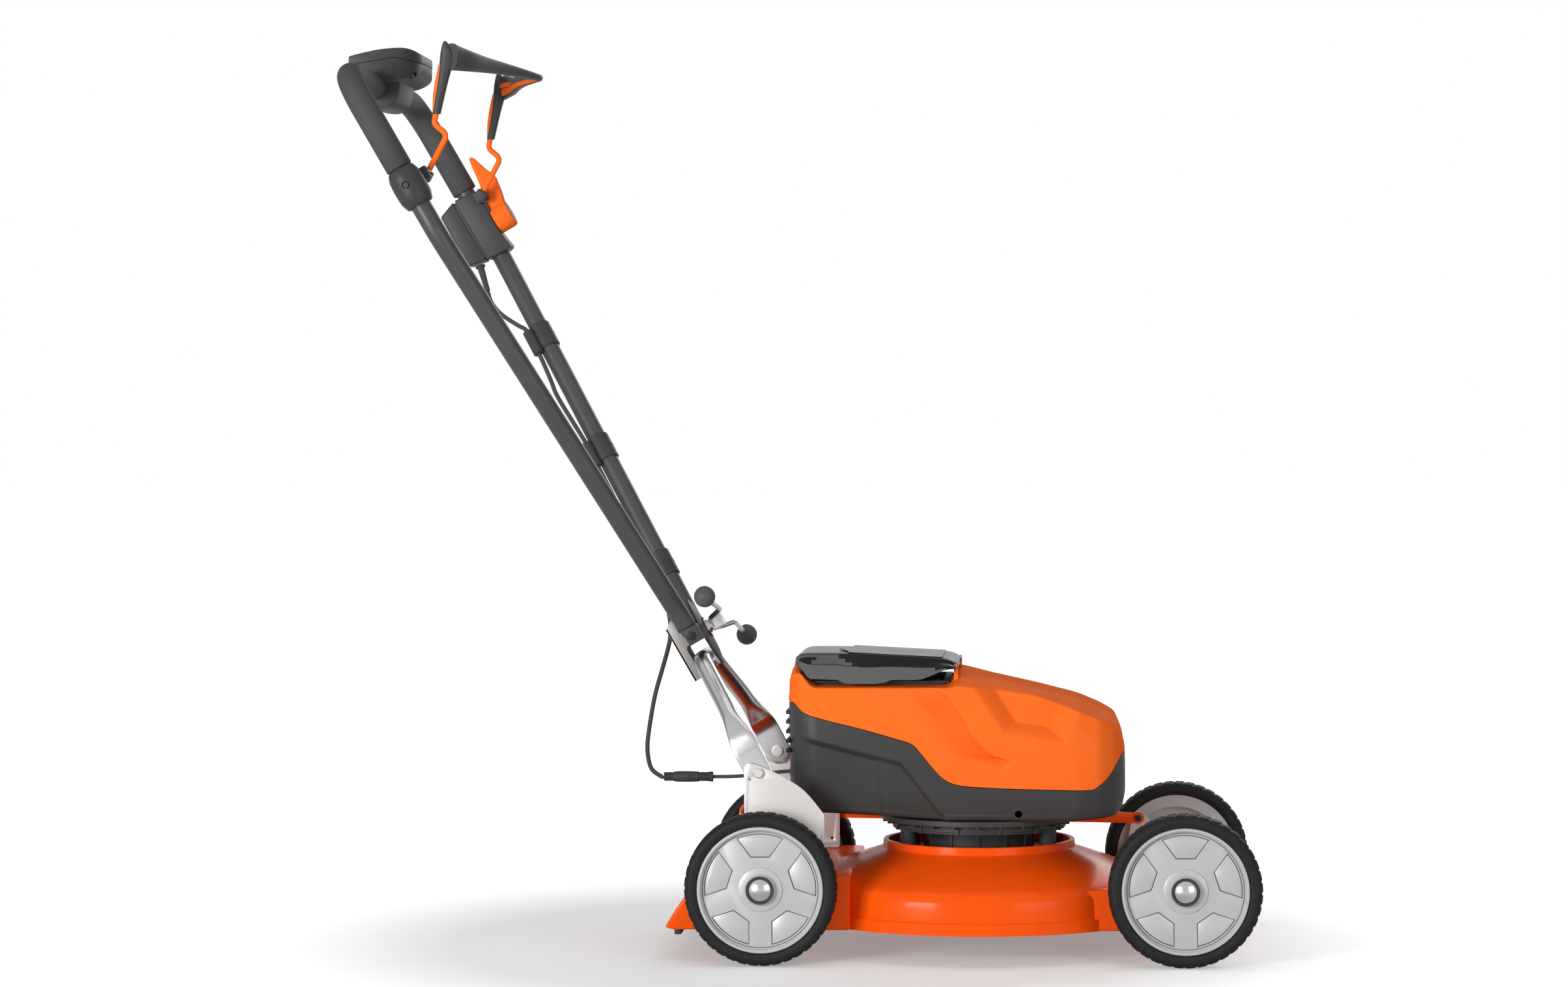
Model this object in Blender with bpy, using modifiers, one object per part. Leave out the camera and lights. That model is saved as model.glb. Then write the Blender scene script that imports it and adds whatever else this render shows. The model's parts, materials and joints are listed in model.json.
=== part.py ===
"""Cordless lawn mower with a folding handle, built as separate solids.

Run with: blender --background --python part.py

Units are metres and +Z is up. +X points forward and +Y to the operator's left. Positions along X
are measured from the rear wheel axle, and REAR_AXLE_X moves that frame so that the whole machine
stands centred over the world's origin. Parts of the upper handle are placed in the handle's own
frame: x is the distance in front of the tube's plane, z the distance up the tube from its knee.
"""

import math

import bmesh
import bpy
from mathutils import Euler, Matrix, Vector

# Driving dimensions of the running gear
REAR_AXLE_X = -0.0465
WHEEL_RADIUS = 0.105
WHEELBASE = 0.579
TRACK = 0.460
WHEEL_STEPS = 24
AXLE_RADIUS = 0.008
STUB_RADIUS = 0.006
FRONT_PIVOT = (0.519, 0.1180)
REAR_PIVOT = (-0.060, 0.1265)
LINK_PIN_OFFSET = (0.0036, 0.0420)
CRANK_INNER_Y = 0.1975
CRANK_OUTER_Y = 0.2005

# Driving dimensions of the deck and the motor
DECK_CENTRE = (0.2934, 0.0)
DECK_STEPS = 32
DECK_BOTTOM = 0.0433
BLADE_LENGTH = 0.470
BLADE_WIDTH = 0.055
MOTOR_STEPS = 20

# Driving dimensions of the housing
HOUSING_WALL = 0.003
SEAM_GAP = 0.0003
LID_WALL = 0.0025
LID_HINGE = (0.2645, 0.4015)

# Driving dimensions of the handle
HANDLE_LEAN = math.radians(29.9)
KNEE = (-0.4317, 1.0)
HANDLE_HALF_WIDTH = 0.285
LEG_SPLAY = 0.3717
TUBE_RADIUS = 0.014
TUBE_WALL = 0.0016
TUBE_CLEARANCE_RADIUS = 0.0151
GRIP_RADIUS = 0.0185
GRIP_WALL = 0.0034
CROSSBAR_S = 0.2561
GRIP_FOOT_S = 0.105
TUBE_FOOT_S = -0.6255
FOLD_S = -0.6432
LOWER_TUBE_RADIUS = 0.0125
BRACKET_BOLT = (-0.0065, 0.2590)
BAIL_PLANE_Y = 0.248
BAIL_PIVOT = (0.0245, 0.0850)
LEVER_PIVOT = (0.281, 0.044)
CORD_RADIUS = 0.00325
TAIL_RADIUS = 0.00265

IDENTITY = Matrix.Identity(4)
HANDLE_FRAME = (Matrix.Translation((KNEE[0], 0.0, KNEE[1]))
                @ Matrix.Rotation(-HANDLE_LEAN, 4, "Y"))


def clear_scene():
    """Remove every object, so that the script can run again in an open file."""
    for obj in list(bpy.data.objects):
        bpy.data.objects.remove(obj, do_unlink=True)


def new_collection(name):
    """Make a collection under the scene's own."""
    collection = bpy.data.collections.new(name)
    bpy.context.scene.collection.children.link(collection)
    return collection


def new_material(name, colour, roughness, metallic=0.0):
    """Make a Principled material."""
    material = bpy.data.materials.new(name)
    material.use_nodes = True
    material.diffuse_color = (*colour, 1.0)
    shader = material.node_tree.nodes["Principled BSDF"]
    shader.inputs["Base Color"].default_value = (*colour, 1.0)
    shader.inputs["Roughness"].default_value = roughness
    shader.inputs["Metallic"].default_value = metallic
    return material


clear_scene()
PARTS = new_collection("lawn_mower")
CUTTERS = new_collection("cutters")
BODIES = {}

ORANGE_COAT = new_material("orange_coat", (0.86, 0.16, 0.02), 0.30)
ORANGE_CASTING = new_material("orange_casting", (0.86, 0.16, 0.02), 0.30)
ORANGE_PLASTIC = new_material("orange_plastic", (0.88, 0.18, 0.03), 0.38)
BLACK_PLASTIC = new_material("black_plastic", (0.045, 0.046, 0.048), 0.50)
SMOKED_PLASTIC = new_material("smoked_plastic", (0.03, 0.03, 0.032), 0.15)
TYRE_RUBBER = new_material("tyre_rubber", (0.03, 0.03, 0.03), 0.75)
SOFT_RUBBER = new_material("soft_rubber", (0.05, 0.05, 0.052), 0.70)
RIM_PLASTIC = new_material("rim_plastic", (0.50, 0.50, 0.51), 0.35)
TUBE_COAT = new_material("tube_coat", (0.09, 0.09, 0.095), 0.35, 0.3)
CHROME = new_material("chrome", (0.80, 0.80, 0.80), 0.10, 1.0)
ZINC = new_material("zinc_steel", (0.66, 0.66, 0.64), 0.32, 1.0)
DARK_STEEL = new_material("dark_steel", (0.18, 0.18, 0.19), 0.40, 1.0)
CAST_ALUMINIUM = new_material("cast_aluminium", (0.42, 0.43, 0.45), 0.45, 1.0)
COPPER_STACK = new_material("stator_stack", (0.40, 0.24, 0.14), 0.45, 1.0)
BOARD_GREEN = new_material("board_green", (0.03, 0.16, 0.07), 0.50)


def joint_empty(name, location, parent=None):
    """Make an empty on a joint's axis, at a location measured from the rear axle."""
    empty = bpy.data.objects.new(name, None)
    empty.empty_display_size = 0.05
    PARTS.objects.link(empty)
    if parent is None:
        empty.location = Vector(location) + Vector((REAR_AXLE_X, 0.0, 0.0))
    else:
        empty.parent = BODIES[parent][0]
        empty.location = Vector(location) - BODIES[parent][1]
    BODIES[name] = (empty, Vector(location))


def attach(obj, body):
    """Parent an object to a body's empty and leave it where it is."""
    empty, location = BODIES[body]
    obj.parent = empty
    obj.matrix_parent_inverse = Matrix.Translation(-location)


def finish(obj, name, material, body):
    """Name a finished sub-part, give it its material and hang it on its body."""
    obj.name = name
    obj.data.materials.clear()
    obj.data.materials.append(material)
    attach(obj, body)
    for modifier in obj.modifiers:
        if modifier.type == "BOOLEAN":
            attach(modifier.object, body)
            modifier.object.name = f"{name}_{modifier.name}"
    return obj


def new_object(data, frame=IDENTITY):
    """Link an object for this data, placed by a matrix."""
    obj = bpy.data.objects.new(data.name, data)
    PARTS.objects.link(obj)
    obj.matrix_world = frame
    return obj


def from_bmesh(bm, frame=IDENTITY):
    """Turn a bmesh into an object whose faces look outward."""
    bmesh.ops.recalc_face_normals(bm, faces=bm.faces)
    mesh = bpy.data.meshes.new("solid")
    bm.to_mesh(mesh)
    bm.free()
    return new_object(mesh, frame)


def baked(obj):
    """Replace an object by the mesh that its curve or modifiers make."""
    bpy.context.view_layer.update()
    evaluated = obj.evaluated_get(bpy.context.evaluated_depsgraph_get())
    mesh = bpy.data.meshes.new_from_object(evaluated)
    frame = obj.matrix_world.copy()
    bm = bmesh.new()
    bm.from_mesh(mesh)
    bmesh.ops.remove_doubles(bm, verts=bm.verts, dist=1e-6)
    bpy.data.objects.remove(obj, do_unlink=True)
    return from_bmesh(bm, frame)


def box(low, high, bevel=0.0, frame=IDENTITY):
    """Make a box between two corners, with bevelled edges if asked."""
    low = Vector(low)
    high = Vector(high)
    size = high - low
    placing = Matrix.Translation((low + high) / 2.0) @ Matrix.Diagonal((*size, 1.0))
    bm = bmesh.new()
    bmesh.ops.create_cube(bm, size=1.0, matrix=placing)
    obj = from_bmesh(bm, frame)
    if bevel:
        modifier = obj.modifiers.new("round_edges", "BEVEL")
        modifier.width = bevel
        modifier.segments = 1
    return obj


def rod(start, end, radius, sides=16, end_radius=None, frame=IDENTITY):
    """Make a straight round bar, or a cone, between two points."""
    start = Vector(start)
    end = Vector(end)
    run = end - start
    turn = run.to_track_quat("Z", "Y").to_matrix().to_4x4()
    bm = bmesh.new()
    bmesh.ops.create_cone(
        bm, cap_ends=True, segments=sides, radius1=radius,
        radius2=radius if end_radius is None else end_radius, depth=run.length,
        matrix=Matrix.Translation((start + end) / 2.0) @ turn)
    return from_bmesh(bm, frame)


def turned(profile, steps=MOTOR_STEPS, closed=False, frame=IDENTITY):
    """Turn a profile of (radius, height) pairs about the frame's Z axis."""
    mesh = bpy.data.meshes.new("solid")
    points = [(radius, 0.0, height) for radius, height in profile]
    edges = [(i, i + 1) for i in range(len(points) - 1)]
    if closed:
        edges.append((len(points) - 1, 0))
    mesh.from_pydata(points, edges, [])
    obj = new_object(mesh, frame)
    screw = obj.modifiers.new("turn", "SCREW")
    screw.steps = steps
    screw.render_steps = steps
    screw.use_merge_vertices = True
    screw.merge_threshold = 1e-5
    return obj


def prism(outline, low, high, holes=(), frame=IDENTITY):
    """Extrude an outline of (x, z) points along Y, with holes left open."""
    curve = bpy.data.curves.new("outline", "CURVE")
    curve.dimensions = "2D"
    curve.fill_mode = "BOTH"
    curve.extrude = (high - low) / 2.0
    for loop in (outline, *holes):
        spline = curve.splines.new("POLY")
        spline.points.add(len(loop) - 1)
        for point, (x, z) in zip(spline.points, loop):
            point.co = (x, z, 0.0, 1.0)
        spline.use_cyclic_u = True
    upright = Matrix.Translation((0.0, (low + high) / 2.0, 0.0)) @ Matrix.Rotation(math.pi / 2.0, 4, "X")
    return baked(new_object(curve, frame @ upright))


def tube_curve(path, radius, sides=12, caps=True, frame=IDENTITY):
    """Make a curve with a round bevel along a path."""
    curve = bpy.data.curves.new("tube", "CURVE")
    curve.dimensions = "3D"
    curve.bevel_depth = radius
    curve.bevel_resolution = (sides - 4) // 2
    curve.use_fill_caps = caps
    spline = curve.splines.new("POLY")
    spline.points.add(len(path) - 1)
    for point, place in zip(spline.points, path):
        point.co = (*place, 1.0)
    return new_object(curve, frame)


def tube(path, radius, sides=10, frame=IDENTITY):
    """Make a solid round bar along a path, as a mesh that can be cut or joined."""
    return baked(tube_curve(path, radius, sides, True, frame))


def sleeve(path, radius, wall, sides=10, frame=IDENTITY):
    """Make a hollow sleeve, open at both ends, along a path."""
    obj = tube_curve(path, radius, sides, False, frame)
    modifier = obj.modifiers.new("wall", "SOLIDIFY")
    modifier.thickness = wall
    modifier.offset = -1.0
    return baked(obj)


def loft(rings, frame=IDENTITY):
    """Skin a row of rings that have equal point counts, and cap both ends."""
    bm = bmesh.new()
    rows = [[bm.verts.new(point) for point in ring] for ring in rings]
    for row, following in zip(rows, rows[1:]):
        for i in range(len(row)):
            j = (i + 1) % len(row)
            bm.faces.new((row[i], row[j], following[j], following[i]))
    bm.faces.new(rows[0])
    bm.faces.new(rows[-1])
    return from_bmesh(bm, frame)


def hull(points, frame=IDENTITY):
    """Wrap points in their convex hull."""
    bm = bmesh.new()
    for point in points:
        bm.verts.new(point)
    result = bmesh.ops.convex_hull(bm, input=bm.verts)
    loose = {v for v in result["geom_interior"] if isinstance(v, bmesh.types.BMVert)}
    bmesh.ops.delete(bm, geom=list(loose), context="VERTS")
    bmesh.ops.dissolve_limit(bm, angle_limit=math.radians(0.5), verts=bm.verts, edges=bm.edges)
    return from_bmesh(bm, frame)


def combine(target, tool, operation, label):
    """Cut a tool from a target, or join the tool to it, with a Boolean modifier."""
    PARTS.objects.unlink(tool)
    CUTTERS.objects.link(tool)
    tool.hide_render = True
    tool.display_type = "WIRE"
    modifier = target.modifiers.new(label, "BOOLEAN")
    modifier.operation = operation
    modifier.solver = "EXACT"
    modifier.object = tool
    return target


def cut(target, tool, label):
    """Cut a tool from a target."""
    return combine(target, tool, "DIFFERENCE", label)


def join(target, tool, label):
    """Join a tool to a target."""
    return combine(target, tool, "UNION", label)


def circle(centre, radius, sides=16, turn=0.0):
    """Points of a circle in a plane of two coordinates."""
    angles = [turn + 2.0 * math.pi * i / sides for i in range(sides)]
    return [(centre[0] + radius * math.cos(a), centre[1] + radius * math.sin(a)) for a in angles]


def plate_hull(circles, low, high, frame=IDENTITY):
    """Make a flat plate in XZ, from low to high along Y, that wraps several circles."""
    outline = [point for centre, radius in circles for point in circle(centre, radius)]
    return hull([(x, y, z) for x, z in outline for y in (low, high)], frame)


def rounded_path(corners, radii, steps=6):
    """Points along straight runs whose inner corners are rounded to the given radii."""
    corners = [Vector(corner) for corner in corners]
    path = [corners[0]]
    for before, corner, after, radius in zip(corners, corners[1:], corners[2:], radii):
        back = (before - corner).normalized()
        ahead = (after - corner).normalized()
        half = back.angle(ahead) / 2.0
        centre = corner + (back + ahead).normalized() * radius / math.sin(half)
        reach = radius / math.tan(half)
        first = (corner + back * reach - centre).normalized()
        last = (corner + ahead * reach - centre).normalized()
        path += [centre + first.slerp(last, step / steps) * radius for step in range(steps + 1)]
    path.append(corners[-1])
    return path


def smooth_route(points, spacing):
    """Points at even steps along a smooth curve through a route's own points."""
    points = [Vector(point) for point in points]
    ends = [points[0] * 2.0 - points[1], *points, points[-1] * 2.0 - points[-2]]
    fine = []
    for a, b, c, d in zip(ends, ends[1:], ends[2:], ends[3:]):
        for step in range(20):
            t = step / 20.0
            fine.append(0.5 * (2.0 * b + (c - a) * t + (2.0 * a - 5.0 * b + 4.0 * c - d) * t ** 2
                               + (3.0 * b - a - 3.0 * c + d) * t ** 3))
    fine.append(points[-1])
    length = sum((q - p).length for p, q in zip(fine, fine[1:]))
    count = max(2, round(length / spacing))
    route = [fine[0]]
    walked = 0.0
    for p, q in zip(fine, fine[1:]):
        run = (q - p).length
        while len(route) < count and walked + run >= length * len(route) / count:
            route.append(p.lerp(q, (length * len(route) / count - walked) / run))
        walked += run
    route.append(fine[-1])
    return route


def mirrored(half):
    """A path from the left half: the half as given, then its mirror image backwards."""
    return [tuple(p) for p in half] + [(p[0], -p[1], p[2]) for p in reversed(half) if abs(p[1]) > 1e-9]


def about(x, y, z=0.0):
    """A frame whose origin is this point."""
    return Matrix.Translation((x, y, z))


def across(x, z, outward=1.0, turn=0.0):
    """A frame at (x, z) whose Z axis points along Y, to the left for 1 and to the right for -1."""
    return about(x, 0.0, z) @ Euler((-outward * math.pi / 2.0, turn, 0.0)).to_matrix().to_4x4()


def leg_y(s):
    """Distance of a leg's centre line from the mid-plane, at a height up the handle."""
    return HANDLE_HALF_WIDTH + LEG_SPLAY * min(s, 0.0)


def on_handle(x, y, s):
    """A point of the handle's own frame, in the frame of the whole machine."""
    return HANDLE_FRAME @ Vector((x, y, s))


def make_bodies():
    """Make the empties of the joint tree."""
    pivot = on_handle(BAIL_PIVOT[0], 0.0, BAIL_PIVOT[1])
    fold = on_handle(0.0, 0.0, FOLD_S)
    joint_empty("mower", (0.0, 0.0, 0.0))
    joint_empty("front_axle_joint", (FRONT_PIVOT[0], 0.0, FRONT_PIVOT[1]), "mower")
    joint_empty("rear_axle_joint", (REAR_PIVOT[0], 0.0, REAR_PIVOT[1]), "mower")
    joint_empty("link_joint", (FRONT_PIVOT[0] + LINK_PIN_OFFSET[0], 0.1925,
                               FRONT_PIVOT[1] + LINK_PIN_OFFSET[1]), "front_axle_joint")
    for end, x in (("front", WHEELBASE), ("rear", 0.0)):
        for side, y in (("right", -TRACK / 2.0), ("left", TRACK / 2.0)):
            joint_empty(f"wheel_joint_{end}_{side}", (x, y, WHEEL_RADIUS), f"{end}_axle_joint")
    joint_empty("blade_joint", (*DECK_CENTRE, 0.060), "mower")
    joint_empty("lid_joint", (LID_HINGE[0], 0.0, LID_HINGE[1]), "mower")
    joint_empty("tilt_joint", (BRACKET_BOLT[0], 0.0, BRACKET_BOLT[1]), "mower")
    joint_empty("clamp_joint", on_handle(0.0193, 0.0, FOLD_S - 0.001), "tilt_joint")
    joint_empty("fold_joint", fold, "tilt_joint")
    joint_empty("bail_joint", pivot, "fold_joint")
    joint_empty("speed_joint", on_handle(0.0190, *LEVER_PIVOT), "fold_joint")
    joint_empty("button_joint", BUTTON_CENTRE, "fold_joint")


def deck_profile(bottom):
    """Outer profile of the blade bell, as (radius, height), closed at a bottom height."""
    return [(0.0, 0.136), (0.128, 0.136), (0.1285, 0.151), (0.1354, 0.151), (0.137, 0.140),
            (0.190, 0.122), (0.235, 0.1035), (0.246, 0.096), (0.250, 0.086), (0.250, 0.060),
            (0.254, 0.058), (0.254, bottom), (0.0, bottom)]


def make_deck():
    """Make the deck: a bell with a front and a rear block, hollow underneath."""
    centre = about(*DECK_CENTRE)
    deck = turned(deck_profile(DECK_BOTTOM), DECK_STEPS, frame=centre)
    rear = [(-0.137, 0.046), (-0.121, 0.072), (-0.100, 0.100), (-0.035, 0.118), (0.120, 0.118),
            (0.120, DECK_BOTTOM), (-0.125, DECK_BOTTOM)]
    front = [(0.440, DECK_BOTTOM), (0.440, 0.098), (0.460, 0.100), (0.575, 0.098), (0.600, 0.080),
             (0.603, DECK_BOTTOM)]
    join(deck, prism(rear, -0.196, 0.196), "rear_block")
    join(deck, prism(front, -0.190, 0.190), "front_block")
    for y in (-0.125, 0.125):
        side = "left" if y > 0.0 else "right"
        join(deck, box((-0.075, y - 0.010, 0.095), (-0.045, y + 0.010, 0.139)), f"rear_saddle_{side}")
        join(deck, box((0.504, y - 0.010, 0.080), (0.534, y + 0.010, 0.1305)), f"front_saddle_{side}")
    rear_pocket = prism([(-0.112, 0.030), (-0.112, 0.072), (-0.0955, 0.0945), (-0.034, 0.1135),
                         (0.115, 0.1135), (0.115, 0.030)], -0.191, 0.191)
    front_pocket = prism([(0.445, 0.030), (0.445, 0.094), (0.570, 0.0935), (0.594, 0.077),
                          (0.598, 0.030)], -0.185, 0.185)
    for pocket, label in ((rear_pocket, "rear_pocket"), (front_pocket, "front_pocket")):
        bell = turned(deck_profile(0.020), DECK_STEPS, frame=centre)
        cut(pocket, bell, "bell")
        bell.name = f"{label}_bell"
        attach(bell, "mower")
        cut(deck, pocket, label)
    chamber = turned([(0.0, 0.132), (0.130, 0.132), (0.190, 0.117), (0.223, 0.101), (0.240, 0.088),
                      (0.246, 0.078), (0.246, 0.030), (0.0, 0.030)], DECK_STEPS, frame=centre)
    cut(deck, chamber, "blade_chamber")
    cut(deck, rod((*DECK_CENTRE, 0.120), (*DECK_CENTRE, 0.145), 0.0125), "shaft_hole")
    for x, z, label in ((*REAR_PIVOT, "rear_bore"), (*FRONT_PIVOT, "front_bore")):
        cut(deck, rod((x, -0.150, z), (x, 0.150, z), 0.0087), label)
    finish(deck, "deck_shell", ORANGE_CASTING, "mower")
    apron = box((-0.1265, -0.165, 0.0325), (-0.1165, 0.165, 0.0430), 0.001)
    finish(apron, "rear_apron", SOFT_RUBBER, "mower")


def make_wheels():
    """Make four tyres and four rims with recesses between five spokes."""
    half_step = math.pi / WHEEL_STEPS
    spread = 1.0 / math.cos(half_step)
    tyre = [(0.0955, 0.0240), (0.1020, 0.0210), (WHEEL_RADIUS * spread, 0.0165),
            (WHEEL_RADIUS * spread, -0.0165), (0.1020, -0.0210), (0.0955, -0.0240),
            (0.0870, -0.0210), (0.0870, 0.0210)]
    rim = [(0.0, 0.0280), (0.0110, 0.0265), (0.0140, 0.0225), (0.0225, 0.0225), (0.0240, 0.0130),
           (0.0680, 0.0130), (0.0700, 0.0210), (0.0864, 0.0210), (0.0864, -0.0210),
           (0.0690, -0.0210), (0.0690, -0.0060), (0.0225, -0.0060), (0.0225, -0.0235),
           (0.0066, -0.0235), (0.0066, 0.0235), (0.0, 0.0235)]
    spoked = turned(rim, WHEEL_STEPS)
    for i in range(5):
        turn = Matrix.Rotation(2.0 * math.pi * i / 5.0, 4, "Z")
        recess = hull([(x, y * side, z) for x, y in ((0.031, 0.0085), (0.063, 0.0260))
                       for side in (-1.0, 1.0) for z in (0.0040, 0.0200)], turn)
        cut(spoked, recess, f"recess_{i}")
    pattern = baked(spoked)
    for end, x in (("front", WHEELBASE), ("rear", 0.0)):
        for side, outward in (("right", -1.0), ("left", 1.0)):
            joint = f"wheel_joint_{end}_{side}"
            place = about(0.0, outward * TRACK / 2.0)
            flat_down = place @ across(x, WHEEL_RADIUS, outward, half_step)
            spoke_down = place @ across(x, WHEEL_RADIUS, outward) @ Matrix.Rotation(
                outward * math.pi / 2.0 + math.pi / 5.0, 4, "Z")
            finish(turned(tyre, WHEEL_STEPS, True, flat_down), f"tyre_{end}_{side}", TYRE_RUBBER, joint)
            rim_object = new_object(pattern.data.copy(), spoke_down)
            finish(rim_object, f"rim_{end}_{side}", RIM_PLASTIC, joint)
    bpy.data.objects.remove(pattern, do_unlink=True)


def make_axle(name, pivot, wheel_x, body):
    """Make a swing axle: cross tube, a crank at each end, stub axles and the left link pin."""
    pin = (pivot[0] + LINK_PIN_OFFSET[0], pivot[1] + LINK_PIN_OFFSET[1])
    wheel = (wheel_x, WHEEL_RADIUS)
    axle = rod((pivot[0], -0.1990, pivot[1]), (pivot[0], 0.1990, pivot[1]), AXLE_RADIUS)
    arms = [(pivot, 0.0125), (wheel, 0.0105)]
    join(axle, plate_hull(arms, -CRANK_OUTER_Y, -CRANK_INNER_Y), "right_crank")
    join(axle, plate_hull([*arms, (pin, 0.0090)], CRANK_INNER_Y, CRANK_OUTER_Y), "left_crank")
    for side in (-1.0, 1.0):
        stub = rod((wheel_x, side * 0.1990, WHEEL_RADIUS), (wheel_x, side * 0.2520, WHEEL_RADIUS),
                   STUB_RADIUS, 12)
        join(axle, stub, "left_stub" if side > 0.0 else "right_stub")
    join(axle, rod((pin[0], 0.1880, pin[1]), (pin[0], 0.1990, pin[1]), 0.0050, 12), "link_pin")
    finish(axle, name, ZINC, body)


def make_height_gear():
    """Make both swing axles and the link bar that joins them."""
    make_axle("front_axle", FRONT_PIVOT, WHEELBASE, "front_axle_joint")
    make_axle("rear_axle", REAR_PIVOT, 0.0, "rear_axle_joint")
    front = (FRONT_PIVOT[0] + LINK_PIN_OFFSET[0], FRONT_PIVOT[1] + LINK_PIN_OFFSET[1])
    rear = (REAR_PIVOT[0] + LINK_PIN_OFFSET[0], REAR_PIVOT[1] + LINK_PIN_OFFSET[1])
    link = plate_hull([(front, 0.0080), (rear, 0.0080)], 0.1900, 0.1950)
    for (x, z), label in ((front, "front_hole"), (rear, "rear_hole")):
        cut(link, rod((x, 0.185, z), (x, 0.200, z), 0.0056, 12), label)
    finish(link, "height_link", ORANGE_COAT, "link_joint")


def make_motor():
    """Make the motor, its ribbed base, the controller and the blade train."""
    centre = about(*DECK_CENTRE)
    base = turned([(0.0185, 0.1785), (0.1100, 0.1785), (0.1140, 0.1868), (0.1385, 0.1868),
                   (0.1385, 0.1795), (0.1215, 0.1785), (0.1215, 0.1690), (0.1165, 0.1690),
                   (0.1165, 0.1745), (0.0765, 0.1745), (0.0725, 0.1385), (0.0185, 0.1385)],
                  MOTOR_STEPS, True, centre)
    for x in (-0.098, 0.098):
        for y in (-0.055, 0.055):
            post = rod((x, y, 0.1363), (x, y, 0.1770), 0.0125, 8, frame=centre)
            label = ("rear" if x < 0.0 else "front") + ("_right" if y < 0.0 else "_left")
            join(base, post, f"post_{label}")
    finish(base, "motor_base", CAST_ALUMINIUM, "mower")
    can = [(0.0, 0.247), (0.062, 0.247), (0.066, 0.243), (0.066, 0.179), (0.0625, 0.179),
           (0.0625, 0.2435), (0.022, 0.2435), (0.022, 0.229), (0.0185, 0.229), (0.0185, 0.2435),
           (0.0, 0.2435)]
    finish(turned(can, MOTOR_STEPS, frame=centre), "motor_can", CAST_ALUMINIUM, "mower")
    stator = [(0.030, 0.2225), (0.062, 0.2225), (0.062, 0.179), (0.030, 0.179)]
    finish(turned(stator, MOTOR_STEPS, True, centre), "motor_stator", COPPER_STACK, "mower")
    for name, low in (("bearing_upper", 0.229), ("bearing_lower", 0.140)):
        ring = [(0.009, low + 0.010), (0.018, low + 0.010), (0.018, low), (0.009, low)]
        finish(turned(ring, MOTOR_STEPS, True, centre), name, DARK_STEEL, "mower")
    board = box((0.262, -0.060, 0.2475), (0.400, 0.060, 0.262), 0.002)
    finish(board, "controller_board", BOARD_GREEN, "mower")
    shaft = [(0.0, 0.2415), (0.0085, 0.2415), (0.0085, 0.224), (0.0285, 0.224), (0.0285, 0.182),
             (0.0085, 0.182), (0.0085, 0.062), (0.0, 0.062)]
    finish(turned(shaft, MOTOR_STEPS, frame=centre), "blade_shaft", DARK_STEEL, "blade_joint")
    hub = [(0.0088, 0.085), (0.022, 0.085), (0.028, 0.078), (0.028, 0.0583), (0.0088, 0.0583)]
    finish(turned(hub, MOTOR_STEPS, True, centre), "blade_hub", CAST_ALUMINIUM, "blade_joint")
    length = BLADE_LENGTH / 2.0
    width = BLADE_WIDTH / 2.0
    half = [(-width, 0.0), (-width, length - 0.020), (-width + 0.020, length), (width, length), (width, 0.0)]
    outline = half + [(-x, -y) for x, y in half[1:-1]]
    flat = Matrix.Translation((*DECK_CENTRE, 0.056)) @ Matrix.Rotation(math.pi / 2.0, 4, "X")
    blade = prism(outline, -0.002, 0.002, [circle((0.0, 0.0), 0.0062, 12)], flat)
    finish(blade, "blade", DARK_STEEL, "blade_joint")
    bolt = [(0.0, 0.0617), (0.0055, 0.0617), (0.0055, 0.0537), (0.012, 0.0537), (0.012, 0.046),
            (0.0, 0.046)]
    finish(turned(bolt, 12, frame=centre), "blade_bolt", ZINC, "blade_joint")


def housing_solid(inset):
    """Make the closed body of the hood and lower housing, drawn in by an inset."""
    stations = [
        (0.030, 0.122, 0.210, 0.367, 0.375), (0.036, 0.137, 0.203, 0.371, 0.378),
        (0.060, 0.148, 0.198, 0.373, 0.378), (0.256, 0.148, 0.188, 0.373, 0.378),
        (0.267, 0.148, 0.188, 0.376, 0.3955), (0.310, 0.148, 0.188, 0.372, 0.3845),
        (0.377, 0.147, 0.188, 0.362, 0.369), (0.433, 0.142, 0.188, 0.341, 0.355),
        (0.465, 0.132, 0.190, 0.329, 0.342), (0.486, 0.114, 0.193, 0.318, 0.330),
        (0.496, 0.095, 0.205, 0.296, 0.306), (0.500, 0.080, 0.225, 0.276, 0.286)]
    rings = []
    for x, half, bottom, shoulder, top in stations:
        x += inset if x < 0.035 else -inset if x > 0.490 else 0.0
        half -= inset
        bottom += inset
        shoulder -= inset
        top -= inset
        side = [(0.850, bottom), (0.935, bottom + 0.010), (1.0, (bottom + shoulder) / 2.0 + 0.010),
                (0.880, shoulder), (0.800, shoulder + 0.6 * (top - shoulder)), (0.400, top)]
        left = [(x, half * share, z) for share, z in side]
        rings.append(left + [(x, -y, z) for _, y, z in reversed(left)])
    return loft(rings)


def seam_region(above):
    """Make the space above or below the seam between the hood and the lower housing."""
    seam = [(-0.010, 0.351), (0.039, 0.351), (0.055, 0.338), (0.087, 0.3285), (0.152, 0.312),
            (0.204, 0.296), (0.216, 0.284), (0.2325, 0.2635), (0.249, 0.247), (0.268, 0.239),
            (0.345, 0.234), (0.455, 0.2315), (0.478, 0.251), (0.498, 0.284), (0.520, 0.310)]
    shift = -SEAM_GAP if above else SEAM_GAP
    limit = 0.450 if above else 0.150
    edge = [(x, z + shift) for x, z in seam]
    return prism([(-0.010, limit), *edge, (0.520, limit)], -0.200, 0.200)


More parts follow.
